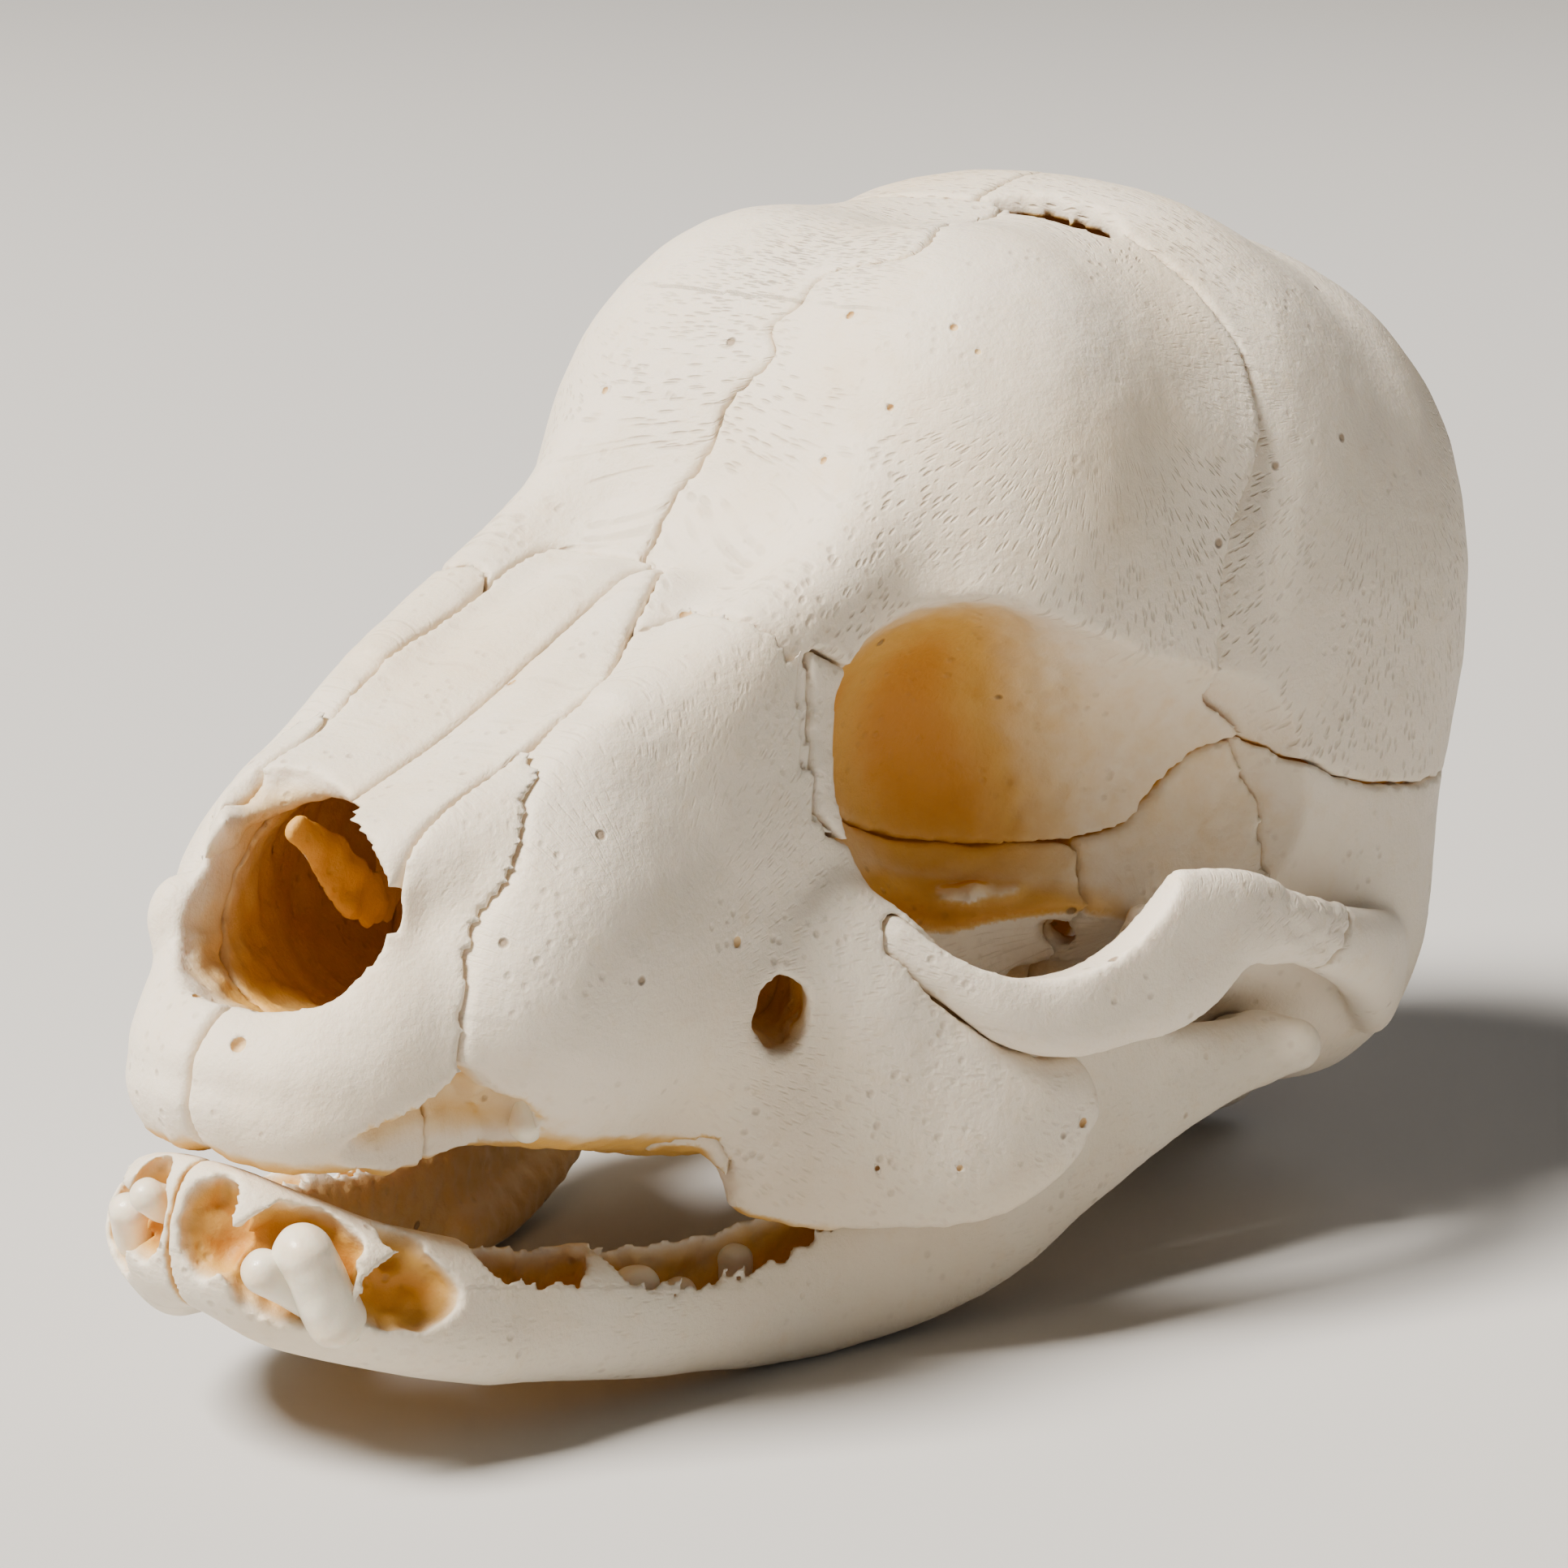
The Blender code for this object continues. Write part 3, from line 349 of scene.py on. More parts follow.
class Bench:
    """The workbench: makes, cuts and finishes meshes in millimetres before they are laid on the floor."""

    def __init__(self) -> None:
        """Clears a place for work in hand."""
        self.place = bpy.data.collections.new("bench")
        bpy.context.scene.collection.children.link(self.place)

    def put(self, shape: bmesh.types.BMesh, name: str) -> bpy.types.Object:
        """Turns a finished bmesh into an object on the bench."""
        mesh = bpy.data.meshes.new(name)
        shape.to_mesh(mesh)
        shape.free()
        made = bpy.data.objects.new(name, mesh)
        self.place.objects.link(made)
        return made

    def copy(self, obj: bpy.types.Object, name: str) -> bpy.types.Object:
        """A second object with its own mesh."""
        twin = bpy.data.objects.new(name, obj.data.copy())
        self.place.objects.link(twin)
        return twin

    def apply(self, obj: bpy.types.Object) -> bpy.types.Object:
        """Turns an object's modifiers into its mesh."""
        graph = bpy.context.evaluated_depsgraph_get()
        made = bpy.data.meshes.new_from_object(obj.evaluated_get(graph))
        obj.modifiers.clear()
        old, obj.data = obj.data, made
        bpy.data.meshes.remove(old)
        return obj

    def remesh(self, obj: bpy.types.Object, cell: float) -> bpy.types.Object:
        """Gives an object an even grain."""
        grain = obj.modifiers.new("grain", "REMESH")
        grain.mode = "VOXEL"
        grain.voxel_size = cell
        return self.apply(obj)

    def points(self, obj: bpy.types.Object) -> np.ndarray:
        """Where an object's vertices are."""
        found = np.empty(len(obj.data.vertices) * 3, np.float32)
        obj.data.vertices.foreach_get("co", found)
        return found.reshape(-1, 3).astype(float)

    def normals(self, obj: bpy.types.Object) -> np.ndarray:
        """Which way an object's vertices face."""
        found = np.empty(len(obj.data.vertices) * 3, np.float32)
        obj.data.vertex_normals.foreach_get("vector", found)
        return found.reshape(-1, 3).astype(float)

    def move(self, obj: bpy.types.Object, points: np.ndarray) -> None:
        """Puts an object's vertices where the points are."""
        obj.data.vertices.foreach_set("co", points.astype(np.float32).ravel())
        obj.data.update()

    def form(self, name: str, pieces: Sequence[Piece], cell: float, inset: float = 0.0,
             rough: float = 0.0, wave: float = 1.0) -> bpy.types.Object:
        """One closed smooth form from pieces that melt together.

        Args:
            name: the new object's name.
            pieces: what the form is made of.
            cell: the size of its faces.
            inset: how much smaller than the pieces it is.
            rough: how far its surface is ruffled.
            wave: the size of a ruffle.

        Returns:
            The form.
        """
        shape = bmesh.new()
        for piece in pieces:
            piece.add_to(shape, inset)
        obj = self.remesh(self.put(shape, name), cell)
        points = self.points(obj)
        h = 0.02
        for _ in range(3):
            here = melted(points, pieces, inset)
            slope = np.stack([melted(points + h * axis, pieces, inset) - here for axis in np.eye(3)], 1) / h
            step = here[:, None] * slope / np.maximum((slope ** 2).sum(1), 0.25)[:, None]
            points -= np.clip(step, -0.4, 0.4)
        self.move(obj, points)
        if rough:
            self.ruffle(obj, rough, wave)
        return obj

    def ruffle(self, obj: bpy.types.Object, height: float, wave: float, seed: float = 3.1,
               share: np.ndarray | None = None) -> None:
        """Moves a surface in and out by smooth noise.

        Args:
            obj: whose surface it is.
            height: how far it moves at most.
            wave: the size of a wave.
            seed: picks the noise.
            share: how much each vertex takes, from 0 to 1.
        """
        points = self.points(obj)
        lift = ripple(points, wave, seed) * height
        if share is not None:
            lift *= share
        self.move(obj, points + self.normals(obj) * lift[:, None])

    def block(self, name: str, outline: Sequence[Point], seen: Seen, near: float, far: float,
              grow: float = 0.0, side: Side = Side.LEFT) -> bpy.types.Object:
        """A closed block pushed through from an outline.

        Args:
            name: the new object's name.
            outline: the corners, in the way that the outline is seen.
            seen: the way that it is drawn.
            near: where the block starts along its depth.
            far: where it ends.
            grow: how much larger it is all round.
            side: the side of the skull that it is for.

        Returns:
            The block.
        """
        across, up, deep = (Vector(axis) for axis in seen.value)
        points = outward(outline, grow)
        shape = bmesh.new()
        ring = [shape.verts.new(across * p.x + up * p.y + deep * (near - grow)) for p in points]
        pushed = bmesh.ops.extrude_face_region(shape, geom=[shape.faces.new(ring)])["geom"]
        moved = [item for item in pushed if isinstance(item, bmesh.types.BMVert)]
        bmesh.ops.translate(shape, verts=moved, vec=deep * (far - near + 2 * grow))
        if side is Side.RIGHT:
            bmesh.ops.scale(shape, vec=(-1, 1, 1), verts=shape.verts)
        bmesh.ops.triangulate(shape, faces=shape.faces)
        bmesh.ops.recalc_face_normals(shape, faces=shape.faces)
        return self.put(shape, name)

    def join(self, obj: bpy.types.Object, others: Sequence[bpy.types.Object],
             operation: str) -> bpy.types.Object:
        """Cuts, joins or intersects an object with others, which are used up."""
        tools = bpy.data.collections.new("tools")
        bpy.context.scene.collection.children.link(tools)
        for other in others:
            tools.objects.link(other)
        boolean = obj.modifiers.new(operation.lower(), "BOOLEAN")
        boolean.operation = operation
        boolean.operand_type = "COLLECTION"
        boolean.collection = tools
        boolean.solver = "MANIFOLD"
        self.apply(obj)
        self.scrap(others)
        bpy.data.collections.remove(tools)
        return obj

    def scrap(self, objects: Sequence[bpy.types.Object]) -> None:
        """Removes objects and their meshes."""
        for mesh in [obj.data for obj in objects]:
            bpy.data.meshes.remove(mesh)

    def largest(self, obj: bpy.types.Object) -> bpy.types.Object:
        """Drops every loose scrap, so that the largest closed surface is left."""
        shape = bmesh.new()
        shape.from_mesh(obj.data)
        todo = set(shape.verts)
        islands = []
        while todo:
            front = [todo.pop()]
            island = []
            while front:
                vert = front.pop()
                island.append(vert)
                for edge in vert.link_edges:
                    other = edge.other_vert(vert)
                    if other in todo:
                        todo.remove(other)
                        front.append(other)
            islands.append(island)
        islands.sort(key=len, reverse=True)
        for island in islands[1:]:
            bmesh.ops.delete(shape, geom=island, context="VERTS")
        shape.to_mesh(obj.data)
        shape.free()
        return obj

    def soften(self, obj: bpy.types.Object, cell: float, turns: int = 2) -> bpy.types.Object:
        """Gives a cut bone an even grain and takes the sharpness off its edges."""
        self.remesh(obj, cell)
        if turns:
            smooth = obj.modifiers.new("soften", "SMOOTH")
            smooth.factor = 0.5
            smooth.iterations = turns
            self.apply(obj)
        return self.largest(obj)

    def paint(self, obj: bpy.types.Object, hollow: np.ndarray, fan: np.ndarray) -> None:
        """Keeps each vertex's painted glow and shade, which grow with its depth in the hollows, and where it
        lies on its bone's rays.

        Args:
            obj: the bone.
            hollow: the painted glow and shade in the hollows, from 0 on the outside to 1 deep inside.
            fan: distance from the bone's first point of growth, and the way round it.
        """
        depths = obj.data.attributes.new("hollow", "FLOAT", "POINT")
        depths.data.foreach_set("value", hollow.astype(np.float32))
        flat = np.zeros((len(fan), 3), np.float32)
        flat[:, :2] = fan
        around = obj.data.attributes.new("fan", "FLOAT_VECTOR", "POINT")
        around.data.foreach_set("vector", flat.ravel())


def outward(outline: Sequence[Point], distance: float) -> list[Vector]:
    """The corners of a closed outline that is grown by a distance."""
    points = [Vector(p) for p in outline]
    if not distance:
        return points
    area = sum(a.x * b.y - b.x * a.y for a, b in zip(points, points[1:] + points[:1]))
    grown = []
    for before, here, after in zip(points[-1:] + points, points, points[1:] + points[:1]):
        a, b = (here - before).normalized(), (after - here).normalized()
        normal = Vector((a.y + b.y, -a.x - b.x)).normalized() * (1 if area > 0 else -1)
        grown.append(here + normal * distance / max(0.5, math.sqrt(max(0.0, (1 + a.dot(b)) / 2))))
    return grown


def wavered(line: Sequence[Point], height: float = 0.16, wave: float = 0.8, step: float = 0.4) -> tuple:
    """A suture's line with the small wanderings of the real one, in steps between its given points."""
    rows = smooth_rows(line, 6)
    lengths = np.concatenate([[0.0], np.cumsum(np.linalg.norm(np.diff(rows, axis=0), axis=1))])
    count = max(2, int(lengths[-1] / step))
    at = np.linspace(0.0, lengths[-1], count)
    x, y = np.interp(at, lengths, rows[:, 0]), np.interp(at, lengths, rows[:, 1])
    ease = np.clip(np.minimum(at, lengths[-1] - at) / 1.5, 0.0, 1.0)
    flat = np.stack([x, y, np.zeros(count)], 1)
    dx = (ripple(flat, wave, 5.0) + 0.5 * ripple(flat, wave / 2.2, 9.0)) * height * ease
    dy = (ripple(flat, wave, 7.0) + 0.5 * ripple(flat, wave / 2.2, 2.0)) * height * ease
    return tuple(zip((x + dx).tolist(), (y + dy).tolist()))


BRAINCASE = [
    Loft(((33, 22.3, 13.4, 14.4), (42.5, 21.7, 16.6, 18.6), (51, 20.8, 17.0, 18.6)),
         squareness=2.5, caps=(8.5, 15.2)),
    *both(Blob((6.2, 34.5, 23.4), (7.8, 10.0, 13.1), melt=4.0)),
]
BASE = [
    *both(Blob((11.0, 54.0, 9.6), (5.0, 6.2, 6.2), melt=4.0),
          Blob((4.4, 59.4, 2.8), (2.2, 3.0, 2.4), melt=2.0),
          Bar(((6.0, 26, 6.4, 2.3, 4.2), (6.8, 33, 6.0, 2.0, 4.8), (8.0, 40, 6.6, 2.0, 4.8),
               (8.6, 46, 6.8, 2.0, 4.4)), melt=2.5)),
    Bar(((0, 34, 8.0, 6.0, 4.0), (0, 44, 5.5, 7.5, 4.0), (0, 54, 4.5, 8.0, 4.0)), melt=4.0),
]
SNOUT = [
    Loft(((4.5, 6.2, 5.4, 5.0), (8.5, 7.2, 8.2, 5.8), (12.5, 8.2, 9.6, 7.3),
          (17, 9.5, 10.3, 9.5), (21, 10.4, 10.4, 11.2), (26, 11.5, 10.5, 12.0)),
         squareness=3.5, taper=0.05, caps=(2.2, 3.0), melt=3.0),
    *both(Bar(((2.2, 6.0, 9.6, 2.5, 2.1), (2.2, 13, 13.8, 2.6, 2.3), (1.7, 20.4, 19.4, 2.0, 2.4)),
              melt=1.0, caps=(0.6, 1.0)),
          Blob((7.6, 12.0, 6.6), (3.3, 6.0, 5.9), melt=1.6),
          Bar(((8.9, 19.8, 4.8, 1.6, 4.2), (10.3, 22.0, 4.2, 1.6, 6.6), (11.8, 24.0, 3.2, 1.5, 6.2),
               (13.1, 26.0, 2.4, 1.3, 5.0), (14.6, 28.3, 1.9, 1.2, 3.8), (15.6, 30.6, 2.6, 1.1, 2.8),
               (16.1, 32.0, 3.6, 1.0, 1.8)), melt=2.0, squareness=2.4),
          Bar(((4.9, 6.2, 10.4, 1.0, 1.1), (5.1, 7.4, 11.0, 1.2, 1.3), (5.5, 9.8, 12.3, 1.3, 1.3),
               (6.3, 13.0, 15.0, 1.5, 1.7), (7.0, 16.3, 17.0, 1.6, 1.8),
               (7.6, 19.5, 19.3, 1.6, 1.8), (7.8, 22.5, 21.6, 1.6, 1.8), (7.2, 25.5, 24.5, 1.5, 1.8)),
              melt=3.0),
          Bar(((4.5, 5.4, -0.5, 0.45, 0.9), (4.7, 6.6, 0.0, 0.45, 1.0), (4.9, 8.0, 0.9, 0.5, 1.0)),
              melt=0.7),
          Bar(((1.2, 1.5, 1.2, 1.6, 2.8), (3.6, 2.6, 1.5, 1.8, 3.0), (5.6, 5.0, 3.0, 1.6, 3.0),
               (6.6, 8.0, 5.4, 1.4, 3.0)), melt=2.0)),
    Blob((-5.9, 4.0, 6.4), (1.1, 1.3, 1.6), melt=0.8),
    Blob((0, 15, 1.2), (8.0, 14.0, 2.0), melt=2.0),
]
OUTER = BRAINCASE + BASE + SNOUT
ARCH = Bar(((12.3, 24.4, 9.0, 1.0, 1.1), (14.3, 26.8, 7.7, 1.2, 1.4), (15.5, 28.8, 6.8, 1.3, 1.6),
            (16.5, 30.8, 7.2, 1.2, 2.1), (17.4, 33.0, 8.8, 1.1, 3.1), (18.2, 35.4, 10.0, 1.0, 3.1),
            (18.8, 38.0, 11.1, 1.0, 2.1), (19.1, 41.0, 10.9, 1.0, 1.5), (18.8, 45.0, 10.4, 1.1, 1.5),
            (17.6, 49.8, 9.6, 1.3, 2.0), (15.6, 54.0, 8.7, 1.3, 2.8)), squareness=2.3, melt=1.6)
ORBIT = Blob((14.2, 28.6, 15.0), (8.6, 8.8, 6.6), (-40, 0, 0))
ARCH_ROOM = Blob((14.2, 28.6, 15.6), (8.6, 7.0, 7.7))
FOSSA = Blob((18.8, 36.8, 13.7), (6.5, 9.3, 8.5), melt=5.0)
NASAL_CAVITY = [
    Loft(((-3.0, 7.8, 5.0, 3.1), (4.5, 7.3, 5.0, 4.0), (8.5, 7.6, 6.5, 4.5), (12.5, 8.7, 8.2, 6.1),
          (17, 10.2, 9.0, 8.1), (20, 11.2, 8.6, 8.6)), squareness=2.5, caps=(1.0, 1.6)),
    Bar(((0, 16, 7.0, 3.4, 3.6), (0, 24, 5.6, 3.2, 3.0), (0, 31, 3.4, 3.0, 2.4),
         (0, 38, -1.5, 3.0, 2.6)), melt=1.5),
    Blob((-2.4, 4.6, 11.9), (3.4, 2.0, 1.6), melt=0.6),
]
FORAMEN_MAGNUM = [Bar(((0, 55, 8.2, 4.4, 4.2), (0, 64, 6.6, 4.4, 4.2), (0, 74, 5.0, 4.4, 4.2)))]
INFRAORBITAL = Bar(((13.6, 17.4, 5.3, 1.2, 1.5), (11.0, 19.6, 5.7, 1.2, 1.5), (7.4, 22.2, 6.6, 1.1, 1.4)))
CANINE_POCKET = Blob((7.4, 8.4, 0.4), (1.5, 1.6, 2.2))
GUM_NOTCH = ((0.6, -3.0), (2.2, -0.6), (2.9, 0.4), (4.1, 1.2), (5.2, 2.0), (5.9, 3.1), (6.7, 2.9), (7.4, 2.4),
             (8.6, 1.4), (9.8, 0.4), (10.3, -3.0))
FONTANELLE = ((0.6, 38.9), (1.8, 38.1), (4.0, 37.4), (6.6, 37.6), (7.6, 38.4), (6.8, 39.6), (4.4, 39.8),
              (2.4, 39.7))

CORONAL = ((37.6, 42.0), (38.3, 39.0), (38.9, 37.6), (39.4, 36.4), (40.2, 33.9), (40.4, 31.6),
           (40.1, 29.6), (39.2, 27.6), (38.5, 25.8), (38.6, 23.0), (39.5, 19.9), (42.5, 18.2))
FRONTAL_FOOT = ((42.5, 18.2), (40.9, 17.3), (39.7, 15.3), (38.3, 13.5), (33.0, 12.2), (28.0, 12.8),
                (24.0, 14.4))
SQUAMOUS = ((41.5, 18.7), (44.3, 17.6), (49.5, 16.8), (55.0, 17.2), (60.2, 18.0))
LAMBDOID = ((56.6, 42.0), (59.4, 36.0), (61.2, 29.0), (61.4, 23.0), (60.2, 18.0), (58.4, 12.5))
LACRIMAL = ((20.0, 19.6), (20.3, 18.1), (20.6, 16.0), (21.1, 13.5))
INCISIVE = ((7.6, -4.0), (6.9, 0.5), (5.8, 3.0), (5.5, 5.1), (5.9, 8.0), (6.9, 10.2), (8.2, 12.7),
            (10.6, 15.4), (12.6, 16.8))
NASAL_EDGE = {
    Side.LEFT: ((4.9, 4.0), (4.8, 6.4), (4.7, 8.4), (4.9, 10.2), (5.0, 12.0), (4.6, 14.0), (3.2, 16.6),
                (2.5, 18.2), (0.9, 21.2)),
    Side.RIGHT: ((4.9, 4.0), (4.7, 6.4), (4.7, 8.8), (5.1, 11.0), (5.4, 13.4), (5.3, 16.2), (5.5, 18.0),
                 (5.6, 20.2), (5.0, 21.5), (3.0, 21.6), (0.4, 21.6)),
}
FRONTAL_NOSE = {
    Side.LEFT: ((-1.0, 16.8), (3.0, 16.7), (3.6, 17.3), (4.2, 18.7), (5.4, 18.4), (6.8, 17.7), (8.3, 18.0),
                (9.4, 19.2), (10.0, 20.6), (11.0, 24.0)),
    Side.RIGHT: ((-1.0, 18.0), (5.2, 17.4), (6.2, 18.4), (7.4, 17.8), (8.4, 18.2), (9.4, 19.3), (10.0, 20.6),
                 (11.0, 24.0)),
}
# The seam of the forehead, as x and the way up and back over the brow.
METOPIC = ((-0.6, 30.0), (-1.6, 33.0), (-1.5, 34.5), (-0.8, 36.4), (-0.3, 38.3), (0.8, 40.0), (-0.1, 41.2),
           (0.9, 42.4), (1.2, 44.1), (4.4, 45.2), (4.6, 47.0), (2.6, 50.8), (1.8, 54.4), (0.2, 58.0))


@dataclass(frozen=True)
class Claim:
    """What a bone takes of the skull, as one block."""

    seen: Seen
    outline: tuple
    near: float
    far: float


def claims(side: Side) -> dict[str, list[Claim]]:
    """What each paired bone of a side takes: a later bone gets what the earlier ones leave."""
    edge, nose = wavered(NASAL_EDGE[side], 0.08), FRONTAL_NOSE[side]
    brow = wavered(nose[1:])
    coronal, squamous, lambdoid = wavered(CORONAL), wavered(SQUAMOUS), wavered(LAMBDOID)
    foot = wavered(FRONTAL_FOOT)
    return {
        "nasal": [Claim(Seen.ABOVE, ((SEAM, 1), (5.2, 1), *edge, (SEAM, edge[-1][1])), 8.3, EDGE)],
        "incisive": [Claim(Seen.SIDE, (*wavered(INCISIVE, 0.015), (-9, 16.8), (-9, -4)), SEAM, EDGE)],
        "lacrimal": [Claim(Seen.SIDE, (*wavered(LACRIMAL), (22.8, 12.4), (26, 12.6), (26, 18)), 7.0, EDGE)],
        "maxilla": [Claim(Seen.ABOVE, ((SEAM, 0), (SEAM, nose[0][1]), *brow, (EDGE, 24), (EDGE, 0)),
                          -9, EDGE),
                    Claim(Seen.SIDE, ((20, -9), (20, 12.5), (24, 12.5), (27, 9.4), (34, 7.0), (34, -9)), 7.6,
                          EDGE)],
        "frontal": [Claim(Seen.SIDE, (*coronal, *foot[1:], (15, 14.4), (15, 42)), -7.0, EDGE)],
        "parietal": [Claim(Seen.SIDE, (*lambdoid[:-9], *squamous[-2::-1], (38.2, 20.6), (36, 25), (33, 42)),
                           SEAM, EDGE)],
        "temporal": [Claim(Seen.SIDE, (*squamous, (58.4, 12.5), (56.6, 6.5), (54.5, -5), (47, -5), (46, 3),
                                       (45.5, 10), (44.2, 15.5)), 3.9, EDGE)],
        "exoccipital": [Claim(Seen.SIDE, ((52.0, -5), (55.0, 6.5), (56.0, 12.5), (75, 12.5), (75, -5)),
                              SEAM, EDGE)],
        "palatine": [Claim(Seen.SIDE, ((16, -9), (16, 14.8), (37.0, 14.8), (38.4, 3), (38.4, -9)),
                           SEAM, EDGE)],
    }


MIDDLE_CLAIMS = {
    "supraoccipital": Claim(Seen.SIDE, (*LAMBDOID, (75, 12.5), (75, 42)), -EDGE, EDGE),
    "basioccipital": Claim(Seen.SIDE, ((46.5, -5), (46.5, 8), (54, 8), (63, 5.2), (63, -5)), -3.6, 3.6),
    "sphenoid": Claim(Seen.SIDE, ((30, -5), (30, 22), (50, 22), (50, -5)), -EDGE, EDGE),
}
CLAIM_ORDER = ("nasal", "incisive", "lacrimal", "maxilla", "frontal", "supraoccipital", "parietal",
               "basioccipital", "temporal", "exoccipital", "palatine", "sphenoid")
# Openings in the wall behind the eye, for nerves and vessels.
NERVE_HOLES = (Blob((10.3, 37.6, 9.2), (0.65, 1.6, 0.6)),
               Bar(((9.4, 36.6, 7.0, 1.0, 0.6), (11.2, 39.4, 7.6, 1.0, 0.6))))
# A low crumbled shelf on the floor of the eye socket.
ORBIT_SHELF = Bar(((6.6, 30.6, 9.7, 0.8, 0.4), (7.9, 32.6, 10.2, 0.9, 0.5), (9.3, 35.2, 10.7, 0.9, 0.5)))
# Single pores, as x, y, z and radius.
PORES = ((4.0, 26.4, 32.65, 0.2), (8.6, 27.2, 32.7, 0.18), (9.8, 27.4, 31.9, 0.17), (7.7, 25.1, 29.2, 0.15),
         (5.7, 23.9, 26.8, 0.18), (-6.7, 24.6, 28.4, 0.18), (0.5, 13.5, 16.7, 0.2), (10.45, 17.1, 8.4, 0.24),
         (4.3, 18.6, 20.2, 0.34), (1.4, 1.5, 4.2, 0.36), (1.8, 0.2, 2.9, 0.32), (-1.6, 1.4, 4.1, 0.34),
         (13.2, 24.0, 0.2, 0.16), (15.1, 26.8, 0.5, 0.14), (17.0, 31.8, 2.6, 0.22))
# Where each bone of the vault first grew, for the rays of its grain.
CENTRES = {"frontal": (10.5, 31.0, 33.0), "parietal": (14.0, 48.0, 33.0), "nasal": (2.2, 4.0, 9.0),
           "maxilla": (8.0, 12.0, 5.0), "incisive": (4.0, 2.0, 1.0), "supraoccipital": (0.0, 64.0, 22.0),
           "temporal": (17.0, 50.0, 12.0), "zygomatic": (17.0, 33.0, 6.0), "mandible": (10.0, 26.0, -5.0)}


def rays(points: np.ndarray, name: str) -> np.ndarray:
    """Where each point lies on the rays of its bone's grain, as distance and way round, in millimetres."""
    centre = np.array(CENTRES.get(name.split("_")[0], (0.0, 40.0, 10.0)))
    if name.endswith("_right"):
        centre = centre * (-1, 1, 1)
    away = points - centre
    out = np.linalg.norm(away, axis=1)
    turn = np.arctan2(away[:, 2], away[:, 1] + 0.001)
    return np.stack([out, turn * 9.0], 1)


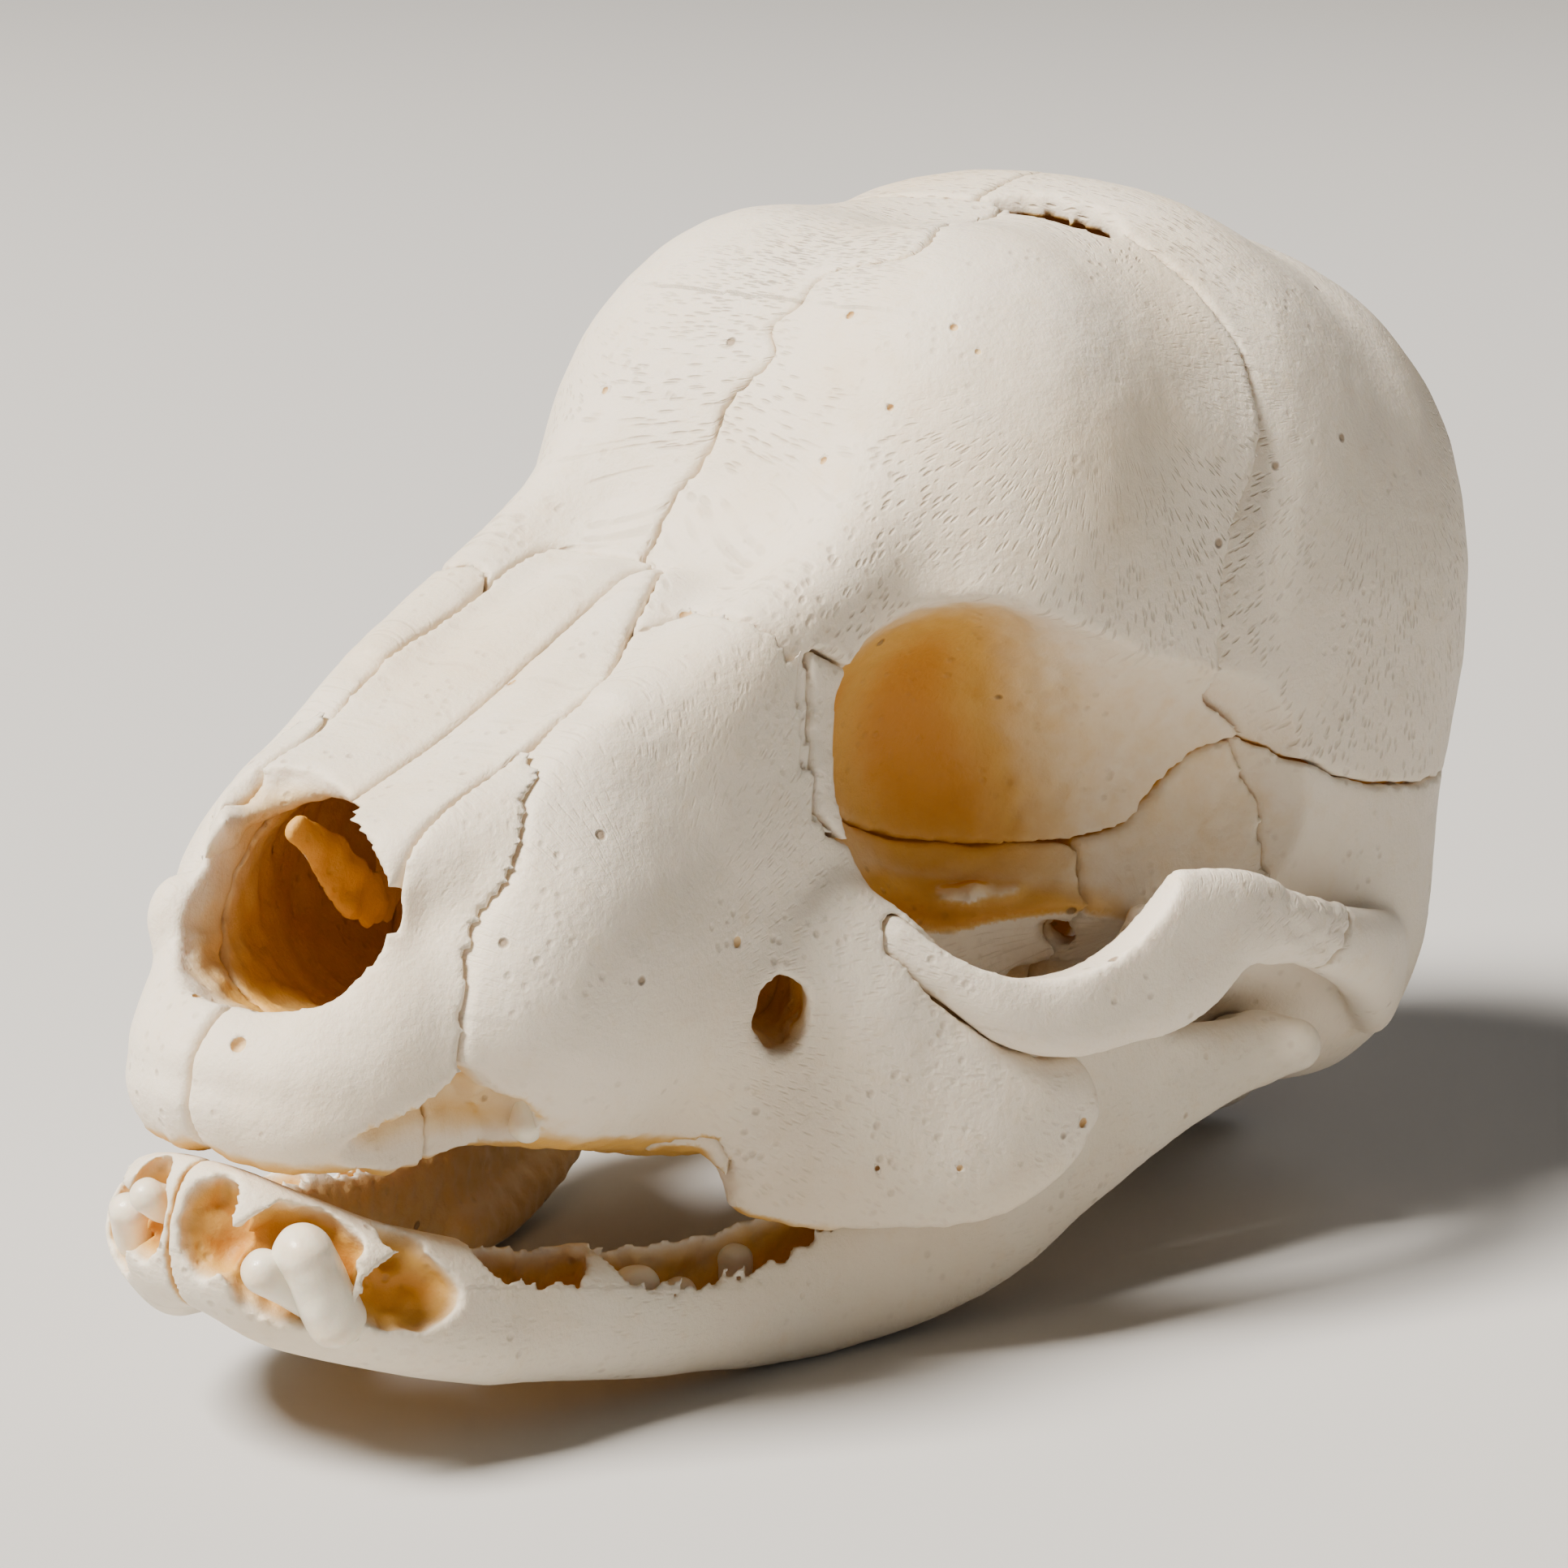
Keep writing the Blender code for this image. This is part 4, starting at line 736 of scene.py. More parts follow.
@dataclass
class Cranium:
    """The skull without its lower jaw: one melted form, hollowed, then parted along its sutures."""

    bench: Bench
    wall: float = WALL
    rim_ruffle: float = 0.14
    press: float = 0.75              # how far the parietal and temporal sink behind the frontal's edge
    press_reach: float = 2.2
    pale_start: float = 32.0         # where the socket's wall turns pale, at the level of the brow
    pale_level: float = 18.6
    pale_lean: float = 0.75
    deepest: float = 4.5             # a point this deep in the hollows takes its full painted glow
    bones: dict[str, bpy.types.Object] = field(default_factory=dict)

    def build(self) -> None:
        """Builds every bone of the skull and its arches."""
        whole = self.hollowed()
        self.part(whole)
        self.add_arches()

    def hollowed(self) -> bpy.types.Object:
        """The whole skull with its hollows and holes, before it is parted."""
        bench = self.bench
        outer = bench.form("outer", OUTER, FORM_CELL)
        brain = bench.form("brain", BRAINCASE, 0.7, self.wall)
        for orbit, fossa in zip(both(ORBIT), both(FOSSA)):
            wall = bench.form("wall", [replace(orbit, radii=tuple(r + self.wall for r in orbit.radii)),
                                       replace(fossa, radii=tuple(r + self.wall for r in fossa.radii))], 0.7)
            bench.join(brain, [wall], "DIFFERENCE")
        bench.largest(brain)
        holes = [brain]
        holes += [bench.form("orbit", [orbit, fossa], FORM_CELL, rough=0.12, wave=2.2)
                  for orbit, fossa in zip(both(ORBIT), both(FOSSA))]
        holes.append(bench.form("nose", NASAL_CAVITY, FORM_CELL, rough=0.25, wave=1.3))
        holes.append(bench.form("magnum", FORAMEN_MAGNUM, FORM_CELL, rough=0.2, wave=2.0))
        ragged = wavered(FONTANELLE + FONTANELLE[:1], 0.3, 0.9, 0.3)
        holes.append(bench.block("fontanelle", ragged[:-1], Seen.ABOVE, 34.0, 44.0))
        for piece in both(INFRAORBITAL, CANINE_POCKET):
            holes.append(bench.form("hole", [piece], 0.25, rough=0.3, wave=0.6))
        notch = Claim(Seen.SIDE, wavered(GUM_NOTCH, 0.05), 5.3, EDGE)
        holes += [self.block(notch, side) for side in Side]
        for hole in holes:
            bench.join(outer, [hole], "DIFFERENCE")
        for piece in both(ORBIT_SHELF):
            bench.join(outer, [bench.form("shelf", [piece], 0.25, rough=0.35, wave=0.8)], "UNION")
        for piece in both(*NERVE_HOLES):
            bench.join(outer, [bench.form("hole", [piece], 0.25, rough=0.2, wave=0.6)], "DIFFERENCE")
        return bench.largest(outer)

    def block(self, claim: Claim, side: Side, grow: float = 0.0) -> bpy.types.Object:
        """The block that a claim names, on its side."""
        return self.bench.block("claim", claim.outline, claim.seen, claim.near, claim.far, grow, side)

    def half_of_brow(self, side: Side) -> bpy.types.Object:
        """The part of the forehead on one side of its wandering seam."""
        line = wavered(METOPIC, 0.22, 1.0, 0.35)
        shifted = [(x + side.value * SEAM, y) for x, y in line]
        across = side.value * EDGE
        outline = [(shifted[0][0], 10.0), *shifted, (shifted[-1][0], 80.0), (across, 80.0), (across, 10.0)]
        return self.bench.block("half", outline, Seen.BROW, -60.0, 60.0)

    def part(self, whole: bpy.types.Object) -> None:
        """Cuts the whole skull into its bones, each a suture's width from the ones before it."""
        bench = self.bench
        taken: list[tuple[Side | None, Claim]] = []
        for bone in CLAIM_ORDER:
            if bone in MIDDLE_CLAIMS:
                wanted = [(None, [MIDDLE_CLAIMS[bone]])]
            else:
                wanted = [(side, claims(side)[bone]) for side in Side]
            for side, blocks in wanted:
                name = bone + ("_" + side.label if side else "")
                made = bench.copy(whole, name + "_bone")
                first, *more = [self.block(claim, side or Side.LEFT) for claim in blocks]
                if more:
                    bench.join(first, more, "UNION")
                bench.join(made, [first], "INTERSECT")
                if bone == "frontal":
                    bench.join(made, [self.half_of_brow(side)], "INTERSECT")
                for other, earlier in taken:
                    if not side or not other or side is other or bone == "frontal":
                        bench.join(made, [self.block(earlier, other or Side.LEFT, GAP)], "DIFFERENCE")
                self.bones[name] = made
            for side, blocks in wanted:
                taken += [(side, claim) for claim in blocks]
        bench.scrap([whole])

    def add_arches(self) -> None:
        """The cheek arches: the front of each is the cheek bone, and the rear grows from the temporal."""
        bench = self.bench
        suture = ((47.2, 15.0), (41.2, 6.0), (20.0, 0.0), (20.0, 15.0))
        claim = Claim(Seen.SIDE, suture, 5.0, EDGE)
        for side in Side:
            arch, orbit = on(side, [ARCH]), on(side, [ARCH_ROOM])
            bar = bench.form("bar", arch, FORM_CELL * 0.7)
            bench.join(bar, [bench.form("orbit", orbit, FORM_CELL)], "DIFFERENCE")
            cheek = bench.copy(bar, f"zygomatic_{side.label}_bone")
            bench.join(cheek, [self.block(claim, side)], "INTERSECT")
            bench.join(bar, [self.block(claim, side, GAP)], "DIFFERENCE")
            bench.largest(bar)
            bench.join(self.bones["temporal_" + side.label], [bar], "UNION")
            room = bench.form("room", arch, FORM_CELL, -GAP)
            bench.join(room, [bench.form("orbit", orbit, FORM_CELL)], "DIFFERENCE")
            for bone in ("maxilla_", "palatine_", "lacrimal_"):
                bench.join(self.bones[bone + side.label], [bench.copy(room, "room")], "DIFFERENCE")
            bench.scrap([room])
            self.bones["zygomatic_" + side.label] = cheek

    def finish(self) -> None:
        """Softens each bone's edges, ruffles its surface and keeps what its finish reads."""
        for name, bone in self.bones.items():
            self.bench.soften(bone, BONE_CELL)
            points, normals = self.bench.points(bone), self.bench.normals(bone)
            hollow = self.hollow(points, normals, name)
            self.sculpt(name, bone)
            edges = ramp(hollow, 0.02, 0.2) * (1 - ramp(hollow, 0.5, 0.9))
            self.bench.ruffle(bone, 0.07, 3.1, 1.0)
            self.bench.ruffle(bone, 0.03, 1.1, 6.0)
            self.bench.ruffle(bone, self.rim_ruffle, 0.8, 4.0, edges)
            if name.startswith("zygomatic"):
                self.bench.ruffle(bone, 0.16, 0.7, 8.0, ramp(points[:, 1], 37.5, 41.0))
            self.bench.paint(bone, hollow, rays(points, name))
            self.prick(name, bone)

    def prick(self, name: str, bone: bpy.types.Object) -> None:
        """Cuts the single pores that fall on a bone."""
        points = self.bench.points(bone)
        for x, y, z, radius in PORES:
            if np.abs(points - (x, y, z)).max(1).min() > radius:
                continue
            pore = self.bench.form("pore", [Blob((x, y, z), (radius,) * 3)], radius / 3)
            place = self.bench.points(pore)
            # Painted shade: the pore's wall is painted tan, for the shade inside it.
            self.bench.paint(pore, np.full(len(place), 0.25), rays(place, name))
            self.bench.join(bone, [pore], "DIFFERENCE")

    def sculpt(self, name: str, bone: bpy.types.Object) -> None:
        """Presses in the parietal and temporal where the frontal's rear edge stands proud of them."""
        if not name.startswith(("parietal", "temporal")):
            return
        points = self.bench.points(bone)
        gap = np.full(len(points), FAR)
        for y, z in smooth_rows(CORONAL, 6):
            gap = np.minimum(gap, np.hypot(points[:, 1] - y, points[:, 2] - z))
        press = self.press * np.exp(-gap / self.press_reach) * (1 - ramp(points[:, 2], 27.0, 36.0))
        points[:, 0] -= np.sign(points[:, 0]) * press
        self.bench.move(bone, points)

    def hollow(self, points: np.ndarray, normals: np.ndarray, name: str) -> np.ndarray:
        """How much painted glow and shade each point takes, from how deep in the skull's hollows it lies.

        Args:
            points: the points of one bone.
            normals: which way the bone faces there.
            name: the bone's name.

        Returns:
            A number for each point, from 0 on the outside to 1 deep inside.
        """
        if name.startswith("zygomatic"):
            return np.zeros(len(points))
        left = np.column_stack([np.abs(points[:, 0]), points[:, 1:]])
        # Painted glow: the deeper a point lies inside the outer form, the more amber it is painted, for light
        # that shines through thin bone and bounces round the hollows.
        depth = -melted(points, OUTER)
        deep = np.clip((depth - 0.3) / self.deepest, 0.0, 1.0) ** 0.7
        # The rear wall of the eye socket is thick and stays pale, its front wall and floor let light through.
        off_socket = ramp(np.abs(melted(left, [ORBIT, FOSSA])), 0.2, 0.5)
        behind = left[:, 1] - self.pale_start - self.pale_lean * (self.pale_level - left[:, 2])
        pale = ramp(behind, -2.4, 2.0)
        # Painted glow: the floor of the eye socket is painted deep orange, for light through its thin bone.
        socket_floor = ramp(12.5 - left[:, 2], 0.0, 3.5) * ramp(left[:, 1], 24.0, 29.0)
        socket_floor *= (1 - off_socket) * (1 - ramp(left[:, 0], 12.0, 14.5))
        deep = np.maximum(deep, socket_floor) * (1 - 0.72 * pale)
        # Painted glow: the inside of the braincase is painted amber, for light through its thin wall.
        brain = ramp(-melted(points, BRAINCASE, self.wall), -0.25, 0.1) * off_socket
        # Painted shade: the palate and the other low surfaces that face down are painted darker, tan to
        # amber, for the shade that falls there.
        palate = 0.55 * ramp(-normals[:, 2], 0.6, 0.9) * (1 - ramp(left[:, 2], 1.0, 3.0))
        palate *= (1 - ramp(left[:, 0], 10.0, 13.0)) * (1 - ramp(left[:, 1], 34.0, 40.0))
        return np.maximum(np.maximum(deep, palate), brain * (depth > 0.5))


@dataclass
class LowerJaw:
    """One half of the lower jaw, with its open tooth pockets."""

    bench: Bench
    side: Side
    body: tuple = (
        Bar(((-1.4, 1.2, -3.8, 1.5, 2.1), (0.8, 1.2, -3.9, 1.5, 2.2), (2.9, 2.1, -4.35, 2.0, 2.25),
             (4.9, 4.7, -5.3, 2.35, 2.3), (6.4, 8.9, -6.1, 2.1, 2.5), (7.2, 12.4, -6.3, 1.9, 2.6),
             (8.0, 16.4, -6.2, 1.85, 2.65), (8.8, 20.4, -5.8, 1.7, 2.8), (9.5, 24.4, -5.1, 1.5, 3.2),
             (10.9, 28.8, -3.4, 1.3, 3.6), (12.1, 32.5, -1.5, 1.1, 3.7), (13.1, 36.2, 1.0, 1.0, 3.3),
             (14.2, 40.8, 3.4, 1.0, 2.5), (15.0, 46.4, 5.1, 1.0, 1.5)), squareness=2.1),
        Bar(((-1.0, 2.0, -6.0, 1.2, 1.2), (0.8, 2.1, -6.1, 1.2, 1.2), (2.7, 3.4, -6.9, 1.2, 1.25),
             (4.8, 6.4, -7.2, 1.4, 1.1), (6.4, 10.0, -7.3, 1.4, 0.9)), melt=2.0),
        Bar(((7.6, 24.0, -7.0, 0.8, 1.0), (9.2, 28.6, -6.1, 0.9, 1.1), (10.9, 33.4, -3.8, 0.9, 1.1),
             (12.4, 37.0, -0.6, 0.7, 0.9)), melt=1.5),
        Bar(((12.2, 33.5, 0.5, 0.9, 2.6), (13.0, 37.0, 4.6, 0.9, 2.3), (13.7, 38.8, 8.2, 0.7, 1.7),
             (14.0, 39.0, 10.3, 0.6, 1.1)), melt=1.5),
        Bar(((13.2, 47.2, 5.2, 1.1, 1.1), (16.4, 47.2, 5.6, 1.1, 1.1)), melt=1.5),
    )
    pockets: tuple = (
        (Bar(((6.9, 9.7, -4.0, 1.35, 2.9), (7.6, 12.5, -4.1, 1.3, 2.9)), squareness=2.6),),
        (Bar(((8.1, 15.5, -4.1, 1.25, 2.8), (9.1, 20.4, -3.6, 1.15, 2.7), (9.9, 24.6, -2.2, 0.8, 1.8)),
             squareness=2.6),),
        (Blob((1.6, -0.1, -3.7), (1.2, 2.0, 2.1), (14, 0, -10)),),
        (Blob((4.5, 1.7, -4.7), (1.9, 2.6, 2.3), (15, 0, -38)),),
        (Blob((7.0, 5.2, -5.3), (1.2, 2.2, 1.5), (0, -20, -25)),),
        (Blob((6.0, 5.4, -3.6), (0.9, 0.9, 1.6), (0, -15, -20)),),
    )
    bone: bpy.types.Object | None = None

    def build(self) -> None:
        """Builds the jaw, cut off just short of the middle."""
        bench = self.bench
        jaw = bench.form(f"mandible_{self.side.label}_bone", on(self.side, self.body), 0.3)
        for group in self.pockets:
            pocket = bench.form("pocket", on(self.side, group), 0.2, rough=0.3, wave=0.7)
            bench.join(jaw, [pocket], "DIFFERENCE")
        middle = bench.block("middle", ((-9, -20), (60, -20), (60, 20), (-9, 20)), Seen.SIDE, -EDGE, SEAM,
                             side=self.side)
        self.bone = bench.join(jaw, [middle], "DIFFERENCE")

    def finish(self) -> None:
        """Softens the jaw's edges and keeps what its finish reads."""
        bench, bone = self.bench, self.bone
        bench.soften(bone, FINE_CELL, 1)
        points = bench.points(bone)
        # Painted glow: the tooth pockets are painted tan to amber by their depth, for light through their
        # thin walls.
        depth = -melted(points, on(self.side, self.body))
        hollow = np.clip((depth - 0.12) / 1.5, 0.0, 1.0) ** 0.8
        # Painted shade: the side that faces the other jaw is painted darker, for the shade it lies in.
        inward = -self.side.value * bench.normals(bone)[:, 0]
        hollow = np.maximum(hollow, 0.4 * ramp(inward, 0.5, 0.95))
        bench.ruffle(bone, 0.06, 2.4, 1.0)
        bench.ruffle(bone, 0.12, 0.6, 6.0, ramp(hollow, 0.02, 0.3) * (1 - ramp(hollow, 0.5, 0.9)))
        bench.paint(bone, hollow, rays(points, "mandible_" + self.side.label))

    def room(self) -> bpy.types.Object:
        """The space that other bones leave for the jaw."""
        return self.bench.form("room", on(self.side, self.body), 0.5, -GAP)


@dataclass
class ToothGerms:
    """The milk teeth of one side that show in their pockets, each as its own cap of enamel."""

    bench: Bench
    side: Side
    # Centre of the root, centre of the tip, half width and half thickness at the tip.
    front: dict = field(default_factory=lambda: {
        Side.LEFT: (("canine", (5.7, 3.2, -6.5), (4.9, 1.8, -4.2), 1.3, 1.1),
                    ("canine_heel", (4.7, 2.8, -5.9), (3.9, 0.9, -5.0), 0.9, 0.8)),
        Side.RIGHT: (("canine", (5.5, 3.6, -6.2), (4.6, 2.2, -4.6), 0.8, 0.7),
                     ("incisor", (1.8, 2.0, -4.0), (1.7, 0.2, -3.4), 0.7, 0.7))})
    cheek: tuple = (
        ("premolar_front", (8.0, 17.2, -7.3), (8.0, 16.9, -5.3), 0.8, 1.05),
        ("premolar_rear", (8.4, 19.4, -7.2), (8.3, 19.2, -5.6), 0.65, 0.7),
        ("molar", (8.5, 22.3, -5.8), (8.4, 22.1, -4.3), 0.6, 0.75),
        ("upper_canine", (7.2, 10.4, 3.0), (7.5, 9.9, 0.9), 0.65, 0.65),
    )
    teeth: list[bpy.types.Object] = field(default_factory=list)

    def build(self) -> None:
        """Builds each germ as a small rounded bar."""
        for name, root, tip, half_width, half_thickness in (*self.front[self.side], *self.cheek):
            bar = Bar(((*root, half_width * 0.8, half_thickness), (*tip, half_width, half_thickness)))
            germ = self.bench.form(f"{name}_germ_{self.side.label}", on(self.side, [bar]), 0.12)
            self.bench.ruffle(germ, 0.08, 0.9, 2.0)
            points = self.bench.points(germ)
            self.bench.paint(germ, np.zeros(len(points)), rays(points, "mandible"))
            self.teeth.append(germ)


@dataclass
class InnerNose:
    """The thin bones that show inside the nose: the plate in the middle and a scroll on each side."""

    bench: Bench
    half_plate: float = 0.4
    vomer: tuple = ((7.6, 3.8), (12.5, 2.95), (17.0, 2.5), (20.0, 3.3), (19.6, 9.0), (14.0, 8.2), (9.4, 5.6))
    turbinates: tuple = (
        Bar(((3.6, 12.0, 8.8, 0.45, 1.2), (4.4, 14.0, 8.9, 0.5, 1.5), (5.6, 15.6, 9.1, 0.5, 1.5),
             (7.6, 16.8, 9.4, 0.5, 1.3)), caps=(1.5, 1.0)),
        Bar(((-2.7, 6.2, 10.3, 0.28, 0.6), (-3.0, 8.4, 9.3, 0.28, 1.0), (-3.1, 11.0, 7.7, 0.3, 1.1),
             (-5.0, 14.4, 8.0, 0.35, 1.3), (-7.6, 16.6, 9.2, 0.5, 1.2)), caps=(1.0, 1.0)),
    )
    bones: dict[str, bpy.types.Object] = field(default_factory=dict)

    def build(self) -> None:
        """Builds the plate and both scrolls."""
        bench = self.bench
        ragged = wavered(self.vomer + self.vomer[:1], 0.3, 1.2)[:-1]
        plate = bench.block("vomer_bone", ragged, Seen.SIDE, -self.half_plate, self.half_plate)
        self.bones["vomer"] = bench.soften(plate, 0.2)
        for side, bar in zip(Side, self.turbinates):
            scroll = bench.form(f"turbinate_{side.label}_bone", [bar], 0.16, rough=0.3, wave=1.1)
            self.bones["turbinate_" + side.label] = scroll
        for name, bone in self.bones.items():
            points = bench.points(bone)
            # Painted glow: the thin bones inside the nose are painted amber, for light that shines through
            # them.
            bench.paint(bone, np.full(len(points), 0.7), rays(points, name))


@dataclass
class EarBullae:
    """The bone shells of the ears, under the skull."""

    bench: Bench
    shell: Blob = Blob((8.0, 51.0, 3.0), (2.9, 3.9, 2.3), (8, 0, 12))
    bones: dict[str, bpy.types.Object] = field(default_factory=dict)

    def build(self) -> None:
        """Builds both shells, cut off where the skull's base starts."""
        for side in Side:
            shell = self.bench.form(f"bulla_{side.label}_bone", on(side, [self.shell]), 0.3)
            room = self.bench.form("room", BRAINCASE + BASE, 0.8, -GAP)
            self.bench.join(shell, [room], "DIFFERENCE")
            self.bench.soften(shell, 0.3)
            self.bench.ruffle(shell, 0.08, 1.6)
            points = self.bench.points(shell)
            self.bench.paint(shell, np.zeros(len(points)), rays(points, "bulla_" + side.label))
            self.bones["bulla_" + side.label] = shell


class Wiring:
    """Adds nodes to a shader tree and joins them up."""

    def __init__(self, tree: bpy.types.NodeTree) -> None:
        """Takes the tree that the nodes go into."""
        self.tree = tree

    def add(self, kind: str, inputs: dict | None = None, **settings: object) -> bpy.types.Node:
        """Adds one node.

        Args:
            kind: the node's type, without the words that all share.
            inputs: the value or the socket that each input takes.
            settings: the node's own settings.

        Returns:
            The node.
        """
        node = self.tree.nodes.new("ShaderNode" + kind)
        for key, value in settings.items():
            setattr(node, key, value)
        for key, value in (inputs or {}).items():
            if isinstance(value, bpy.types.NodeSocket):
                self.tree.links.new(value, node.inputs[key])
            else:
                node.inputs[key].default_value = value
        return node

    def math(self, operation: str, first: object, second: object = 0.0) -> bpy.types.NodeSocket:
        """One sum of two numbers or sockets."""
        return self.add("Math", {0: first, 1: second}, operation=operation).outputs[0]

    def step(self, value: object, low: float, high: float) -> bpy.types.NodeSocket:
        """A soft step from 0 at low to 1 at high."""
        return self.add("MapRange", {"Value": value, "From Min": low, "From Max": high},
                        interpolation_type="SMOOTHSTEP").outputs[0]

    def mix(self, share: object, first: object, second: object, blend: str = "MIX") -> bpy.types.NodeSocket:
        """One colour made of two."""
        node = self.add("Mix", {0: share, 6: first, 7: second}, data_type="RGBA", blend_type=blend)
        return node.outputs[2]

    def noise(self, where: object, scale: float, detail: float = 3.0,
              rough: float = 0.55) -> bpy.types.NodeSocket:
        """Smooth noise from 0 to 1."""
        return self.add("TexNoise", {"Vector": where, "Scale": scale, "Detail": detail,
                                     "Roughness": rough}).outputs[0]


def new_group(name: str, inputs: Sequence[tuple[str, str]], outputs: Sequence[tuple[str, str]]
              ) -> tuple[bpy.types.NodeTree, Wiring, bpy.types.Node, bpy.types.Node]:
    """Starts a shader node group.

    Args:
        name: the group's name.
        inputs: name and kind of each input.
        outputs: name and kind of each output.

    Returns:
        The group, its wiring, its input node and its output node.
    """
    tree = bpy.data.node_groups.new(name, "ShaderNodeTree")
    for way, sockets in (("INPUT", inputs), ("OUTPUT", outputs)):
        for label, kind in sockets:
            tree.interface.new_socket(label, in_out=way, socket_type="NodeSocket" + kind)
    return tree, Wiring(tree), tree.nodes.new("NodeGroupInput"), tree.nodes.new("NodeGroupOutput")


def relief_group() -> bpy.types.NodeTree:
    """Builds the group that gives dry bone its grain, pits and short strokes, as height, and as painted shade
    that darkens the pits, pores and strokes.
    """
    tree, wire, given, out = new_group(
        "bone_relief", (("Place", "Vector"), ("Fan", "Vector"), ("Strokes", "Float"), ("Pits", "Float")),
        (("Height", "Float"), ("Pores", "Float")))
    place, fan = given.outputs["Place"], given.outputs["Fan"]
    swell = wire.noise(place, 420.0, 4.0)
    grain = wire.noise(place, 3600.0, 5.0, 0.65)
    cells = wire.add("TexVoronoi", {"Vector": place, "Scale": 1500.0, "Randomness": 1.0})
    patch = wire.step(wire.noise(place, 260.0, 2.0), 0.45, 0.7)
    pits = wire.math("SUBTRACT", 1.0, wire.step(cells.outputs["Distance"], 0.08, 0.34))
    pits = wire.math("MULTIPLY", wire.math("MULTIPLY", pits, patch), given.outputs["Pits"])
    stretched = wire.add("Mapping", {"Vector": fan, "Scale": (1.5, 6.0, 1.0)}, vector_type="POINT").outputs[0]
    dash = wire.add("TexVoronoi", {"Vector": stretched, "Scale": 1.0, "Randomness": 1.0})
    strokes = wire.math("SUBTRACT", 1.0, wire.step(dash.outputs["Distance"], 0.12, 0.42))
    field_of_strokes = wire.step(wire.noise(place, 190.0, 2.0), 0.3, 0.52)
    from_centre = wire.step(wire.add("SeparateXYZ", {"Vector": fan}).outputs["X"], 4.0, 10.0)
    for share in (field_of_strokes, given.outputs["Strokes"], from_centre):
        strokes = wire.math("MULTIPLY", strokes, share)
    rare = wire.add("TexVoronoi", {"Vector": place, "Scale": 230.0, "Randomness": 1.0})
    pore = wire.math("SUBTRACT", 1.0, wire.step(rare.outputs["Distance"], 0.03, 0.06))
    height = wire.math("ADD", wire.math("MULTIPLY", swell, 0.10), wire.math("MULTIPLY", grain, 0.055))
    height = wire.math("SUBTRACT", height, wire.math("MULTIPLY", pits, 0.07))
    height = wire.math("SUBTRACT", height, wire.math("MULTIPLY", strokes, 0.06))
    height = wire.math("SUBTRACT", height, wire.math("MULTIPLY", pore, 0.12))
    # Painted shade: the pores, pits and strokes also come out as a darkening of the colour, for the shade
    # inside them.
    dark = wire.math("MAXIMUM", pore, wire.math("MULTIPLY", pits, 0.4))
    dark = wire.math("MAXIMUM", dark, wire.math("MULTIPLY", strokes, 0.3))
    tree.links.new(height, out.inputs["Height"])
    tree.links.new(dark, out.inputs["Pores"])
    return tree


def tone_group() -> bpy.types.NodeTree:
    """Builds the group that colours dry bone: ivory with tan stains outside, and painted shade and glow in
    its hollows, tan at their rims and amber and deep orange further in, for light that shines through thin
    bone and bounces there.
    """
    tree, wire, given, out = new_group(
        "bone_tone", (("Place", "Vector"), ("Hollow", "Float"), ("Pores", "Float"), ("Ivory", "Color"),
                      ("Tan", "Color"), ("Amber", "Color"), ("Deep", "Color")),
        (("Colour", "Color"), ("Roughness", "Float"), ("Glow", "Color")))
    place, hollow = given.outputs["Place"], given.outputs["Hollow"]
    broad = wire.noise(place, 75.0, 3.0)
    fine = wire.noise(place, 900.0, 4.0, 0.6)
    stain = wire.math("MULTIPLY", wire.step(broad, 0.42, 0.75), 0.35)
    skin = wire.mix(stain, given.outputs["Ivory"], given.outputs["Tan"])
    skin = wire.mix(wire.math("MULTIPLY", wire.step(fine, 0.5, 0.8), 0.22), skin, given.outputs["Tan"])
    # Painted shade and glow: the hollows' mask, made uneven by the fine noise, turns the ivory tan at their
    # rims and amber and deep orange further in.
    uneven = wire.math("ADD", hollow, wire.math("MULTIPLY", wire.math("SUBTRACT", fine, 0.5), 0.18))
    skin = wire.mix(wire.step(uneven, 0.03, 0.28), skin, given.outputs["Tan"])
    skin = wire.mix(wire.step(uneven, 0.18, 0.6), skin, given.outputs["Amber"])
    skin = wire.mix(wire.step(uneven, 0.55, 1.0), skin, given.outputs["Deep"])
    # Painted shade: the pits, pores and strokes are darkened to brown, for the shade inside them.
    skin = wire.mix(wire.math("MULTIPLY", given.outputs["Pores"], 0.75), skin, (0.22, 0.13, 0.06, 1.0))
    rough = wire.math("ADD", wire.math("MULTIPLY", fine, 0.25), 0.42)
    # Painted glow: the deeper hollows glow in the deep colour, for light that shines through thin bone.
    glow = wire.mix(wire.step(uneven, 0.3, 0.9), (0.0, 0.0, 0.0, 1.0), given.outputs["Deep"])
    tree.links.new(skin, out.inputs["Colour"])
    tree.links.new(rough, out.inputs["Roughness"])
    tree.links.new(glow, out.inputs["Glow"])
    return tree


